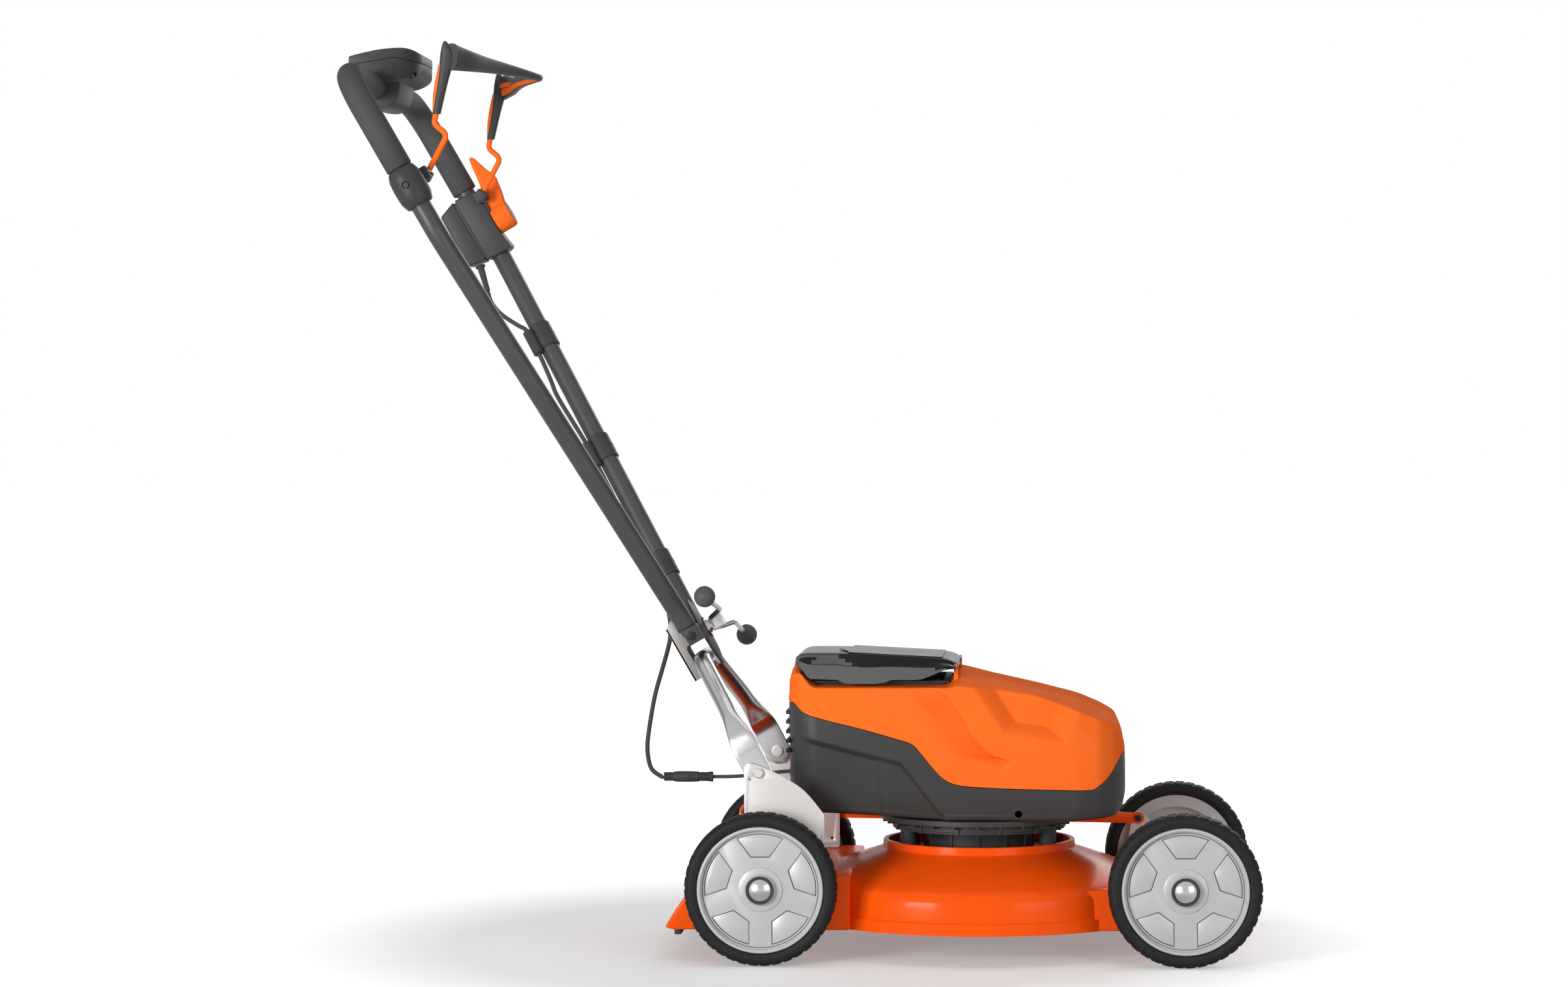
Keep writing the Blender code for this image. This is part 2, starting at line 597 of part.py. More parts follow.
def make_housing():
    """Make the hood, the lower housing and the battery bay with its lid."""
    hood = housing_solid(0.0)
    cut(hood, housing_solid(HOUSING_WALL), "inside")
    cut(hood, seam_region(False), "below_seam")
    cut(hood, box((0.0605, -0.0945, 0.340), (0.2495, 0.0945, 0.410)), "battery_bay")
    for side in (-1.0, 1.0):
        lug = box((0.2590, side * 0.0945 - 0.0035, 0.3800), (0.2690, side * 0.0945 + 0.0035, 0.4055))
        join(hood, lug, "left_lug" if side > 0.0 else "right_lug")
    cut(hood, rod((LID_HINGE[0], -0.110, LID_HINGE[1]), (LID_HINGE[0], 0.110, LID_HINGE[1]), 0.0023, 12),
        "hinge_bore")
    finish(hood, "hood", ORANGE_PLASTIC, "mower")
    lower = housing_solid(0.0)
    cut(lower, housing_solid(HOUSING_WALL), "inside")
    cut(lower, seam_region(True), "above_seam")
    cut(lower, rod((*DECK_CENTRE, 0.170), (*DECK_CENTRE, 0.220), 0.0675, MOTOR_STEPS), "motor_opening")
    join(lower, rod((0.0240, 0.0, 0.245), (0.0315, 0.0, 0.245), 0.0060, 12), "cord_gland")
    finish(lower, "lower_housing", BLACK_PLASTIC, "mower")
    tray = box((0.062, -0.093, 0.262), (0.248, 0.093, 0.380))
    join(tray, box((0.056, -0.100, 0.3783), (0.254, 0.100, 0.3810)), "rim")
    cut(tray, box((0.0645, -0.0905, 0.2645), (0.2455, 0.0905, 0.400)), "inside")
    finish(tray, "battery_tray", BLACK_PLASTIC, "mower")
    pack = box((0.070, -0.085, 0.2648), (0.240, 0.085, 0.372), 0.004)
    finish(pack, "battery_pack", BLACK_PLASTIC, "mower")


def lid_solid(inset):
    """Make the closed body of the battery lid, drawn in by an inset."""
    stations = [(0.0375, 0.104, 0.086, 0.4120), (0.0405, 0.114, 0.093, 0.4216),
                (0.0550, 0.122, 0.099, 0.4254), (0.1390, 0.122, 0.100, 0.4226),
                (0.2500, 0.122, 0.100, 0.4165), (0.2580, 0.120, 0.098, 0.4130),
                (0.2620, 0.116, 0.094, 0.4070)]
    bottom = 0.362 if inset else 0.372
    rings = []
    for x, foot, crown, top in stations:
        x += inset if x < 0.040 else -inset if x > 0.260 else 0.0
        left = [(foot - inset, bottom), (foot - inset, 0.3775), (crown - inset, top - inset - 0.0035),
                (crown - 0.010 - inset, top - inset)]
        ring = [(x, y, z) for y, z in left]
        rings.append(ring + [(x, -y, z) for _, y, z in reversed(ring)])
    return loft(rings)


def make_lid():
    """Make the battery lid, a thin cap with hinge barrels along its front edge."""
    lid = lid_solid(0.0)
    cut(lid, lid_solid(LID_WALL), "inside")
    edge = [(0.020, 0.4035), (0.047, 0.4030), (0.060, 0.388), (0.110, 0.3785), (0.161, 0.3785),
            (0.219, 0.383), (0.249, 0.396), (0.258, 0.3985), (0.280, 0.3985)]
    cut(lid, prism([(0.020, 0.340), *edge, (0.280, 0.340)], -0.140, 0.140), "lower_edge")
    x, z = LID_HINGE
    for side in (-1.0, 1.0):
        label = "left" if side > 0.0 else "right"
        slot = box((0.2575, side * 0.0945 - 0.0045, 0.390), (0.270, side * 0.0945 + 0.0045, 0.4075))
        cut(lid, slot, f"{label}_slot")
        join(lid, rod((x, side * 0.050, z), (x, side * 0.0895, z), 0.0034, 12), f"{label}_barrel")
        join(lid, rod((x, side * 0.088, z), (x, side * 0.0975, z), 0.0018, 12), f"{label}_pin")
    finish(lid, "battery_lid", SMOKED_PLASTIC, "lid_joint")


def make_brackets():
    """Make the handle brackets on the deck and the bolts through them."""
    outline = [(-0.0265, 0.1203), (-0.0265, 0.265), (-0.0235, 0.270), (-0.0165, 0.272),
               (0.014, 0.261), (0.0465, 0.2425), (0.062, 0.230), (0.084, 0.202), (0.084, 0.1203)]
    slot = [(-0.0215, 0.2500), (-0.0175, 0.2480), (-0.0150, 0.2515), (-0.0190, 0.2540)]
    for side, label in ((-1.0, "right"), (1.0, "left")):
        low, high = sorted((side * 0.1785, side * 0.1815))
        plate = prism(outline, low, high, [circle(BRACKET_BOLT, 0.0044, 12), slot,
                                           circle((0.073, 0.130), 0.0025, 8)])
        foot_low, foot_high = sorted((side * 0.1550, side * 0.1805))
        join(plate, box((-0.0265, foot_low, 0.1183), (0.084, foot_high, 0.1213)), "foot")
        finish(plate, f"rear_bracket_{label}", ZINC, "mower")
        bolt = [(0.0, 0.1868), (0.0075, 0.1868), (0.0075, 0.1818), (0.0040, 0.1818),
                (0.0040, 0.1710), (0.0075, 0.1710), (0.0075, 0.1655), (0.0, 0.1655)]
        finish(turned(bolt, 12, frame=across(*BRACKET_BOLT, side)), f"handle_bolt_{label}", DARK_STEEL,
               "mower")


def make_lower_handle():
    """Make the lower handle: a bent tube whose ends are flattened into blades."""
    shoulder = (-0.0955, 0.065, 0.408)
    leg_end = (-0.0574, 0.127, 0.350)
    corners = mirrored([leg_end, shoulder])
    handle = tube(rounded_path(corners, [0.045, 0.045], 4), LOWER_TUBE_RADIUS)
    blade_top = (-0.0290, 0.3010)
    for side, label in ((-1.0, "right"), (1.0, "left")):
        low, high = sorted((side * 0.1715, side * 0.1765))
        blade = plate_hull([(blade_top, 0.0190), (BRACKET_BOLT, 0.0190)], low, high)
        run = (Vector(leg_end) - Vector(shoulder)).normalized()
        aside = run.cross(Vector((0.0, 0.0, 1.0))).normalized()
        upward = aside.cross(run)
        centre = Vector(leg_end) - run * 0.004
        ring = []
        for a, b in circle((0.0, 0.0), LOWER_TUBE_RADIUS * 0.995, 12):
            point = centre + aside * a + upward * b
            ring.append((point.x, side * point.y, point.z))
        top = [(x, y, z) for x, z in circle(blade_top, 0.0188, 12) for y in (low + 0.0002, high - 0.0002)]
        join(handle, hull(ring + top), f"{label}_flare")
        join(handle, blade, f"{label}_blade")
    x, z = BRACKET_BOLT
    cut(handle, rod((x, -0.180, z), (x, 0.180, z), 0.0046, 12), "bolt_holes")
    finish(handle, "lower_handle_tube", CHROME, "tilt_joint")


def make_clamp():
    """Make the fold clamp: channel, bolt, oval disc and the T-handle with two knobs."""
    s = FOLD_S
    outline = [(-0.0315, s - 0.0600), (-0.0190, s - 0.0596), (-0.0190, s - 0.0110), (0.0040, s - 0.0080),
               (0.0075, s), (0.0040, s + 0.0080), (-0.0190, s + 0.0110), (-0.0175, s + 0.0335),
               (-0.0315, s + 0.0244)]
    channel = prism(outline, -0.0285, 0.0285, [], HANDLE_FRAME)
    cut(channel, box((-0.0290, -0.0260, s - 0.080), (0.020, 0.0260, s + 0.060), frame=HANDLE_FRAME),
        "inside")
    cut(channel, rod((0.0, -0.040, s), (0.0, 0.040, s), 0.0044, 12, frame=HANDLE_FRAME), "bolt_hole")
    finish(channel, "clamp_channel", ZINC, "tilt_joint")
    fold = on_handle(0.0, 0.0, s)
    bolt = [(0.0, 0.0710), (0.0068, 0.0710), (0.0068, 0.0668), (0.0040, 0.0668), (0.0040, -0.0668),
            (0.0068, -0.0668), (0.0068, -0.0710), (0.0, -0.0710)]
    finish(turned(bolt, 12, frame=across(fold.x, fold.z)), "fold_bolt", DARK_STEEL, "tilt_joint")
    rings = []
    for x, share in ((0.0113, 0.90), (0.0133, 1.0), (0.0173, 1.0), (0.0193, 0.86)):
        rings.append([(x, 0.034 * share * a, s - 0.0052 + 0.0525 * share * b)
                      for a, b in circle((0.0, 0.0), 1.0, 20)])
    disc = loft(rings, HANDLE_FRAME)
    cut(disc, rod((0.005, 0.0, s - 0.001), (0.025, 0.0, s - 0.001), 0.0046, 12, frame=HANDLE_FRAME), "hole")
    finish(disc, "clamp_disc", BLACK_PLASTIC, "tilt_joint")
    centre = s - 0.001
    lever = box((0.0248, -0.0090, centre - 0.0102), (0.0466, 0.0090, centre + 0.0102), 0.0015, HANDLE_FRAME)
    join(lever, rod((0.0196, 0.0, centre), (0.0255, 0.0, centre), 0.0085, 12, frame=HANDLE_FRAME), "nut")
    join(lever, rod((0.0085, 0.0, centre), (0.0200, 0.0, centre), 0.0040, 12, frame=HANDLE_FRAME), "screw")
    arm = [(0.0317, 0.018, -0.0088), (0.0527, 0.043, -0.0132), (0.0512, 0.1055, -0.0332)]
    path = [(x, -y, centre - z) for x, y, z in reversed(arm)] + [(x, y, centre + z) for x, y, z in arm]
    bent = rounded_path(path, [0.010, 0.010, 0.010, 0.010], 3)
    join(lever, tube(bent, 0.0035, 8, HANDLE_FRAME), "arms")
    finish(lever, "clamp_lever", CHROME, "clamp_joint")
    for side, label in ((-1.0, "right"), (1.0, "left")):
        tip = Vector((0.0512, side * 0.1055, centre - side * 0.0332))
        along = (tip - Vector((0.0527, side * 0.043, centre - side * 0.0132))).normalized()
        turn = along.to_track_quat("Z", "Y").to_matrix().to_4x4()
        place = HANDLE_FRAME @ Matrix.Translation(tip + along * 0.0003) @ turn
        radius = 0.0151
        ball = [(radius * math.sin(a), 0.0175 + radius * math.cos(a))
                for a in (math.radians(d) for d in range(0, 151, 25))]
        knob = ball + [(0.0062, 0.0), (0.0, 0.0)]
        finish(turned(knob, 12, frame=place), f"lever_knob_{label}", BLACK_PLASTIC, "clamp_joint")


def leg_path():
    """Centre line of the upper handle's tube, in the handle's frame."""
    half = [(0.0, leg_y(TUBE_FOOT_S), TUBE_FOOT_S), (0.0, HANDLE_HALF_WIDTH, 0.0),
            (0.0, HANDLE_HALF_WIDTH, CROSSBAR_S)]
    return rounded_path(mirrored(half), [0.12, 0.055, 0.055, 0.12], 4)


def grip_path():
    """Centre line of the foam grip, in the handle's frame."""
    half = [(0.0, HANDLE_HALF_WIDTH, GRIP_FOOT_S), (0.0, HANDLE_HALF_WIDTH, CROSSBAR_S)]
    return rounded_path(mirrored(half), [0.055, 0.055], 4)


def make_upper_handle():
    """Make the upper tube, its lugs, the grip and the control panel."""
    frame = HANDLE_FRAME
    legs = sleeve(leg_path(), TUBE_RADIUS, TUBE_WALL, 10, frame)
    finish(legs, "upper_handle_tube", TUBE_COAT, "fold_joint")
    for side, label in ((-1.0, "right"), (1.0, "left")):
        low, high = sorted((side * 0.0385, side * 0.0665))
        lug = box((-0.0085, low, FOLD_S - 0.0125), (0.0145, high, FOLD_S + 0.0115), 0.0015, frame)
        hole = rod((0.0, low - 0.005, FOLD_S), (0.0, high + 0.005, FOLD_S), 0.0046, 12, frame=frame)
        cut(lug, hole, "bolt_hole")
        finish(lug, f"fold_lug_{label}", BLACK_PLASTIC, "fold_joint")
    grip = sleeve(grip_path(), GRIP_RADIUS, GRIP_WALL, frame=frame)
    finish(grip, "grip_sleeve", SOFT_RUBBER, "fold_joint")
    outline = [(-0.591, 1.262), (-0.552, 1.2715), (-0.520, 1.275), (-0.492, 1.262), (-0.490, 1.250),
               (-0.520, 1.235), (-0.531, 1.209), (-0.556, 1.1975), (-0.5725, 1.2005), (-0.5845, 1.213),
               (-0.587, 1.235)]
    panel = prism(outline, -0.100, 0.100)
    cut(panel, tube(grip_path(), GRIP_RADIUS + 0.0006, frame=frame), "grip_bore")
    button = Vector(BUTTON_CENTRE)
    cut(panel, rod(button - BUTTON_UP * 0.008, button + BUTTON_UP * 0.010, 0.0105), "button_pocket")
    finish(panel, "control_panel", BLACK_PLASTIC, "fold_joint")
    cap = rod(button - BUTTON_UP * 0.0058, button + BUTTON_UP * 0.0015, 0.0100)
    finish(cap, "power_button", ORANGE_PLASTIC, "button_joint")


def bail_boss(side):
    """Make the boss that holds a foot of the bail, for a side of 1 or -1."""
    low, high = sorted((side * 0.2565, side * 0.2705))
    x, s = BAIL_PIVOT
    boss = box((0.0100, low, s - 0.0095), (x + 0.0060, high, s + 0.0095), frame=HANDLE_FRAME)
    return boss


def make_handle_fittings():
    """Make the collar, the switch box and the speed lever."""
    frame = HANDLE_FRAME
    x, s = BAIL_PIVOT
    profile = [(0.0, 0.1035), (0.0178, 0.1035), (0.0205, 0.0980), (0.0225, 0.0905), (0.0235, 0.0686),
               (0.0215, 0.0555), (0.0178, 0.0478), (0.0, 0.0478)]
    collar = turned(profile, 16, frame=frame @ about(0.0, -HANDLE_HALF_WIDTH))
    join(collar, bail_boss(-1.0), "boss")
    cut(collar, tube(leg_path(), TUBE_CLEARANCE_RADIUS, frame=frame), "tube_bore")
    cut(collar, rod((x, -0.280, s), (x, -0.250, s), 0.0045, 12, frame=frame), "foot_hole")
    recess = rod((0.0, -0.3300, 0.0785), (0.0, -0.3060, 0.0785), 0.0060, 12, frame=frame)
    cut(collar, recess, "bolt_recess")
    finish(collar, "collar_right", BLACK_PLASTIC, "fold_joint")
    outline = [(-0.0487, 0.0885), (-0.0190, 0.0995), (0.0155, 0.0965), (0.0183, 0.0900),
               (0.0183, 0.0230), (0.0223, -0.0010), (0.0166, -0.0043), (-0.0120, -0.0030),
               (-0.0500, 0.0035)]
    case = prism(outline, 0.2615, 0.3085, [], frame)
    join(case, bail_boss(1.0), "boss")
    cut(case, tube(leg_path(), TUBE_CLEARANCE_RADIUS, frame=frame), "tube_bore")
    cut(case, rod((x, 0.250, s), (x, 0.280, s), 0.0045, 12, frame=frame), "foot_hole")
    finish(case, "switch_box", BLACK_PLASTIC, "fold_joint")
    y, pivot_s = LEVER_PIVOT
    lever = rod((0.0190, y, pivot_s), (0.0440, y, pivot_s), 0.0215, 20, frame=frame)
    arm = [(0.0195, 0.0560), (0.0400, 0.0560), (0.0470, 0.0738), (0.0522, 0.1013), (0.0476, 0.1121),
           (0.0377, 0.1434), (0.0300, 0.1437), (0.0249, 0.0952), (0.0195, 0.0640)]
    join(lever, prism(arm, y - 0.0085, y + 0.0085, [], frame), "arm")
    finish(lever, "speed_lever", ORANGE_PLASTIC, "speed_joint")


def make_bail():
    """Make the bail: two foot blocks, the bent wire and the cover over its upper part."""
    frame = HANDLE_FRAME
    x, s = BAIL_PIVOT
    foot = [(0.0251, 0.0946), (0.0332, 0.0809), (0.0206, 0.0731), (0.0160, 0.0800), (0.0170, 0.0914)]
    for side, label in ((-1.0, "right"), (1.0, "left")):
        low, high = sorted((side * 0.2415, side * 0.2560))
        block = prism(foot, low, high, [], frame)
        pin = rod((x, side * 0.2540, s), (x, side * 0.2690, s), 0.0040, 12, frame=frame)
        join(block, pin, "pin")
        finish(block, f"bail_foot_{label}", BLACK_PLASTIC, "bail_joint")
    start = on_handle(0.0296, BAIL_PLANE_Y, 0.0881)
    jog = [(-0.4243, BAIL_PLANE_Y, 1.1392), (-0.4429, BAIL_PLANE_Y, 1.1541)]
    corner = (-0.4239, BAIL_PLANE_Y, 1.2590)
    apex = (-0.3180, 0.0, 1.2365)
    cover_foot = (-0.4400, BAIL_PLANE_Y, 1.1701)
    wire = rounded_path(mirrored([start, *jog, corner, apex]), [0.009, 0.009, 0.022, 0.20, 0.022, 0.009, 0.009], 2)
    finish(tube(wire, 0.0040, 8), "bail_wire", ORANGE_COAT, "bail_joint")
    cover = rounded_path(mirrored([cover_foot, corner, apex]), [0.022, 0.20, 0.022], 2)
    finish(sleeve(cover, 0.0100, 0.0045, 8), "bail_cover", BLACK_PLASTIC, "bail_joint")


def make_cable():
    """Make the cable down the left leg, its strain relief and three clips."""
    frame = HANDLE_FRAME
    behind, inward = -0.0165, -0.0155
    relief = rod((-0.0345, 0.2712, -0.0040), (-0.0424, 0.2610, -0.0425), 0.0052, 12, 0.0042, frame)
    join(relief, rod((-0.0343, 0.2715, -0.0030), (-0.0348, 0.2708, -0.0054), 0.0075, 12, frame=frame), "flange")
    finish(relief, "strain_relief", SOFT_RUBBER, "fold_joint")
    for name, middle in (("clip_upper", -0.149), ("clip_middle", -0.341), ("clip_lower", -0.5355)):
        low, high = middle - 0.019, middle + 0.019
        ends = [((0.0, leg_y(end), end), (behind, leg_y(end) + inward, end)) for end in (low, high)]
        clip = rod(ends[0][0], ends[1][0], 0.0168, 16, frame=frame)
        join(clip, rod(ends[0][1], ends[1][1], 0.0080, 12, frame=frame), "cable_ring")
        cut(clip, tube(leg_path(), TUBE_CLEARANCE_RADIUS, frame=frame), "tube_bore")
        longer = [Vector(ends[0][1]) * 1.3 - Vector(ends[1][1]) * 0.3,
                  Vector(ends[1][1]) * 1.3 - Vector(ends[0][1]) * 0.3]
        cut(clip, rod(longer[0], longer[1], 0.0055, 12, frame=frame), "cable_bore")
        finish(clip, name, BLACK_PLASTIC, "fold_joint")
    route = [(-0.0425, 0.2607, -0.0430), (-0.0455, 0.2565, -0.0600), (-0.0431, 0.2500, -0.0770),
             (-0.0373, 0.2430, -0.0921), (-0.0258, 0.2320, -0.1130)]
    for s in (-0.130, -0.168):
        route.append((behind, leg_y(s) + inward, s))
    for x, s in ((-0.0195, -0.2131), (-0.0217, -0.2316), (-0.0210, -0.2560), (-0.0178, -0.3000)):
        route.append((x, leg_y(s) + inward, s))
    for s in (-0.322, -0.360, -0.430, -0.516, -0.5560):
        route.append((behind, leg_y(s) + inward, s))
    cable = tube_curve(smooth_route(route, 0.018), CORD_RADIUS, 8, frame=frame)
    finish(cable, "cable_upper", SOFT_RUBBER, "fold_joint")


def make_cord():
    """Make the hanging cord, the plug connector and the tail into the housing."""
    start = on_handle(-0.0165, leg_y(-0.5564) - 0.0155, -0.5564)
    follow = on_handle(-0.0175, leg_y(-0.575) - 0.0160, -0.575)
    hanging = [start, follow, (-0.1530, 0.0400, 0.4680), (-0.1500, 0.0360, 0.4430),
               (-0.1530, 0.0280, 0.4200), (-0.1600, 0.0120, 0.3900), (-0.1690, 0.0, 0.3550),
               (-0.1770, 0.0, 0.3120),
               (-0.1808, 0.0, 0.2790), (-0.1775, 0.0, 0.2540), (-0.1700, 0.0, 0.2410),
               (-0.1640, 0.0, 0.2374), (-0.1610, 0.0, 0.2370)]
    cord = tube_curve(smooth_route(hanging, 0.018) + [Vector((-0.1577, 0.0, 0.2370))], CORD_RADIUS, 8)
    finish(cord, "cord_hanging", SOFT_RUBBER, "tilt_joint")
    plug = rod((-0.1570, 0.0, 0.2370), (-0.0860, 0.0, 0.2370), 0.0080, 12)
    finish(plug, "cord_connector", BLACK_PLASTIC, "tilt_joint")
    tail = [(-0.0857, 0.0, 0.2370), (-0.0600, 0.0, 0.2372), (-0.0200, 0.0, 0.2400),
            (0.0050, 0.0, 0.2435), (0.0237, 0.0, 0.2450)]
    finish(tube_curve(smooth_route(tail, 0.011), TAIL_RADIUS, 8), "cord_tail", SOFT_RUBBER, "tilt_joint")


BUTTON_UP = Vector((-0.2365, 0.0, 0.9716))
BUTTON_CENTRE = (-0.5715, 0.0, 1.2667)


def main():
    """Build every sub-part in order."""
    make_bodies()
    make_deck()
    make_wheels()
    make_height_gear()
    make_motor()
    make_housing()
    make_lid()
    make_brackets()
    make_lower_handle()
    make_clamp()
    make_upper_handle()
    make_handle_fittings()
    make_bail()
    make_cable()
    make_cord()


main()
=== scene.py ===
"""Looks of the cordless lawn mower: camera, cords, finishes, detailed pieces and studio.

Lengths are metres. Sizes are written in the machine's own frame, where X is measured forward from
the rear wheel axle, Y to the operator's left and Z up from the ground. REAR_AXLE_X moves that frame
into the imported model's. Pieces of the upper handle are written in the handle's own frame: x is the
distance in front of the tube's plane and z the distance up the tube from its knee.
"""

import json
import logging
import math
from collections.abc import Callable, Iterable, Sequence
from dataclasses import dataclass
from enum import Enum

import bmesh
import bpy
from bmesh.types import BMesh
from mathutils import Euler, Matrix, Vector

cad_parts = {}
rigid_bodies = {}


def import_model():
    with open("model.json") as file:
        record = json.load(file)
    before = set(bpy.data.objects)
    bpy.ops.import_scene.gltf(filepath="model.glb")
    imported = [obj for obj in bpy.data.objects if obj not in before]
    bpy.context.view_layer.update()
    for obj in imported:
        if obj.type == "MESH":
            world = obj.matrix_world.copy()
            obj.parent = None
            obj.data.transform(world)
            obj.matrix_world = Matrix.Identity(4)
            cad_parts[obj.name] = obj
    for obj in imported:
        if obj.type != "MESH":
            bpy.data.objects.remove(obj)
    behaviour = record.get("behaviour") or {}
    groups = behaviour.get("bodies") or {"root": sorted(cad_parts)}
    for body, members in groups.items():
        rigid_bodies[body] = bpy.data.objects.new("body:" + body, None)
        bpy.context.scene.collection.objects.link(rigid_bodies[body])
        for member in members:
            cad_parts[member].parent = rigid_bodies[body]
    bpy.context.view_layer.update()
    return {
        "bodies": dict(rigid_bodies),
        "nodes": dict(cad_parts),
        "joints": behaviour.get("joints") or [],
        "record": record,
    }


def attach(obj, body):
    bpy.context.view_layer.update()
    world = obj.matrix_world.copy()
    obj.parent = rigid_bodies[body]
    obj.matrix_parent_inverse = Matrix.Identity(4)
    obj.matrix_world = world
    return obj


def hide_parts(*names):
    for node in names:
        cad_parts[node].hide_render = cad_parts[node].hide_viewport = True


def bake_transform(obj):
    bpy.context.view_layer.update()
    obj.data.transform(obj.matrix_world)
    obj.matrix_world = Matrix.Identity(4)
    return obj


LOG = logging.getLogger("lawn_mower")

REAR_AXLE_X = -0.0465
WHEELBASE = 0.579
WHEEL_RADIUS = 0.105
TRACK = 0.460
DECK_CENTRE = (0.2934, 0.0)
HANDLE_LEAN = math.radians(29.9)
KNEE = (-0.4317, 1.0)
HANDLE_HALF_WIDTH = 0.285
LEG_SPLAY = 0.3717
CROSSBAR_S = 0.2561
TUBE_RADIUS = 0.014
TUBE_FOOT_S = -0.6255
FOLD_S = -0.6432
BRACKET_BOLT = (-0.0065, 0.2590)
FRONT_PIVOT = (0.519, 0.1180)
REAR_PIVOT = (-0.060, 0.1265)
LINK_PIN_OFFSET = (0.0036, 0.0420)
LID_HINGE = (0.2645, 0.4015)
BAIL_PIVOT = (0.0245, 0.0850)
BAIL_PLANE_Y = 0.248
LEVER_PIVOT = (0.281, 0.044)

IDENTITY = Matrix.Identity(4)
WORLD = Matrix.Translation((REAR_AXLE_X, 0.0, 0.0))
HANDLE = (Matrix.Translation((KNEE[0], 0.0, KNEE[1])) @ Matrix.Rotation(-HANDLE_LEAN, 4, "Y"))

Pair = tuple[float, float]
Triple = tuple[float, float, float]
Setting = float | Sequence[float] | bpy.types.NodeSocket

SIDES = ((-1.0, "right"), (1.0, "left"))
LID_LUG_Y = 0.0945


@dataclass(frozen=True)
class Graph:
    """A node tree, with short ways to add nodes and to fill their inputs."""

    tree: bpy.types.NodeTree

    def add(self, kind: str, inputs: dict[str | int, Setting] | None = None,
            operation: str = "") -> bpy.types.Node:
        """Add a shader node.

        Args:
            kind: Its type, without the leading ShaderNode.
            inputs: Values for its inputs, or the sockets that they are linked to.
            operation: What a maths node works out.

        Returns:
            The node.
        """
        node = self.tree.nodes.new(f"ShaderNode{kind}")
        if operation:
            node.operation = operation
        self.fill(node, inputs or {})
        return node

    def fill(self, node: bpy.types.Node, inputs: dict[str | int, Setting]) -> None:
        """Set or link inputs of a node.

        Args:
            node: The node.
            inputs: Values for its inputs, or the sockets that they are linked to.
        """
        for key, value in inputs.items():
            if isinstance(value, bpy.types.NodeSocket):
                self.tree.links.new(value, node.inputs[key])
            else:
                node.inputs[key].default_value = value


class Grain(Enum):
    """Surface relief of a finish."""

    CAST = "cast"
    MOULDED = "moulded"
    FOAM = "foam"
    POLISHED = "polished"
    PLATED = "plated"


GRAIN_RELIEF = {
    Grain.CAST: (420.0, 0.30, 0.00025),
    Grain.MOULDED: (1500.0, 0.22, 0.00010),
    Grain.FOAM: (1100.0, 0.55, 0.00030),
    Grain.POLISHED: (60.0, 0.03, 0.00020),
    Grain.PLATED: (700.0, 0.12, 0.00010),
}


@dataclass(frozen=True)
class Finish:
    """A surface finish whose colour, gloss and relief vary with noise on object coordinates."""

    name: str
    colour: Triple
    roughness: float
    grain: Grain = Grain.MOULDED
    metallic: float = 0.0
    coat: float = 0.0
    specular: float = 0.28
    shade_spread: float = 0.10
    gloss_spread: float = 0.06
    patch_scale: float = 9.0

    def material(self) -> bpy.types.Material:
        """Make the node material, or return the one made before.

        Returns:
            The material.
        """
        made = bpy.data.materials.get(self.name)
        if made:
            return made
        material = bpy.data.materials.new(self.name)
        material.use_nodes = True
        material.diffuse_color = (*self.colour, 1.0)
        graph = Graph(material.node_tree)
        place = graph.add("TexCoord").outputs["Object"]
        patches = graph.add("TexNoise", {"Scale": self.patch_scale, "Detail": 5.0, "Vector": place})
        tint = graph.add("ValToRGB", {"Fac": patches.outputs["Fac"]})
        stops = tint.color_ramp.elements
        for index, (position, shade) in enumerate(((0.30, 1.0 - self.shade_spread),
                                                   (0.70, 1.0 + self.shade_spread))):
            stops[index].position = position
            stops[index].color = (*[min(1.0, c * shade) for c in self.colour], 1.0)
        gloss = graph.add("MapRange", {"Value": patches.outputs["Fac"],
                                       "To Min": max(0.02, self.roughness - self.gloss_spread),
                                       "To Max": min(1.0, self.roughness + self.gloss_spread)})
        scale, strength, depth = GRAIN_RELIEF[self.grain]
        relief = graph.add("TexNoise", {"Scale": scale, "Detail": 3.0, "Vector": place})
        bump = graph.add("Bump", {"Strength": strength, "Distance": depth,
                                  "Height": relief.outputs["Fac"]})
        graph.fill(graph.tree.nodes["Principled BSDF"], {
            "Metallic": self.metallic, "Specular IOR Level": self.specular, "Coat Weight": self.coat,
            "Coat Roughness": 0.12, "Base Color": tint.outputs["Color"],
            "Roughness": gloss.outputs["Result"], "Normal": bump.outputs["Normal"]})
        return material


ORANGE_COAT = Finish("orange_powder_coat", (0.95, 0.090, 0.003), 0.24, Grain.CAST, coat=0.10,
                     specular=0.06)
ORANGE_MOULD = Finish("orange_moulded_plastic", (1.0, 0.165, 0.022), 0.42, coat=0.03, specular=0.0,
                      shade_spread=0.03)
DARK_MOULD = Finish("dark_moulded_plastic", (0.045, 0.045, 0.046), 0.46, specular=0.22)
BLACK_MOULD = Finish("black_moulded_plastic", (0.020, 0.020, 0.021), 0.45, specular=0.22)
KNOB_MOULD = Finish("satin_knob_plastic", (0.088, 0.088, 0.089), 0.50, specular=0.22)
GREY_INSERT = Finish("grey_insert_plastic", (0.13, 0.13, 0.135), 0.45)
SMOKED_TOP = Finish("smoked_black_plastic", (0.022, 0.022, 0.023), 0.22, Grain.POLISHED, coat=0.03,
                    specular=0.02)
SMOKED_BAND = Finish("smoked_grey_plastic", (0.10, 0.101, 0.103), 0.18, Grain.POLISHED, specular=0.30)
TREAD_RUBBER = Finish("tread_rubber", (0.013, 0.013, 0.014), 0.60, Grain.CAST, specular=0.2)
SOFT_RUBBER = Finish("soft_rubber", (0.040, 0.040, 0.041), 0.55, specular=0.22)
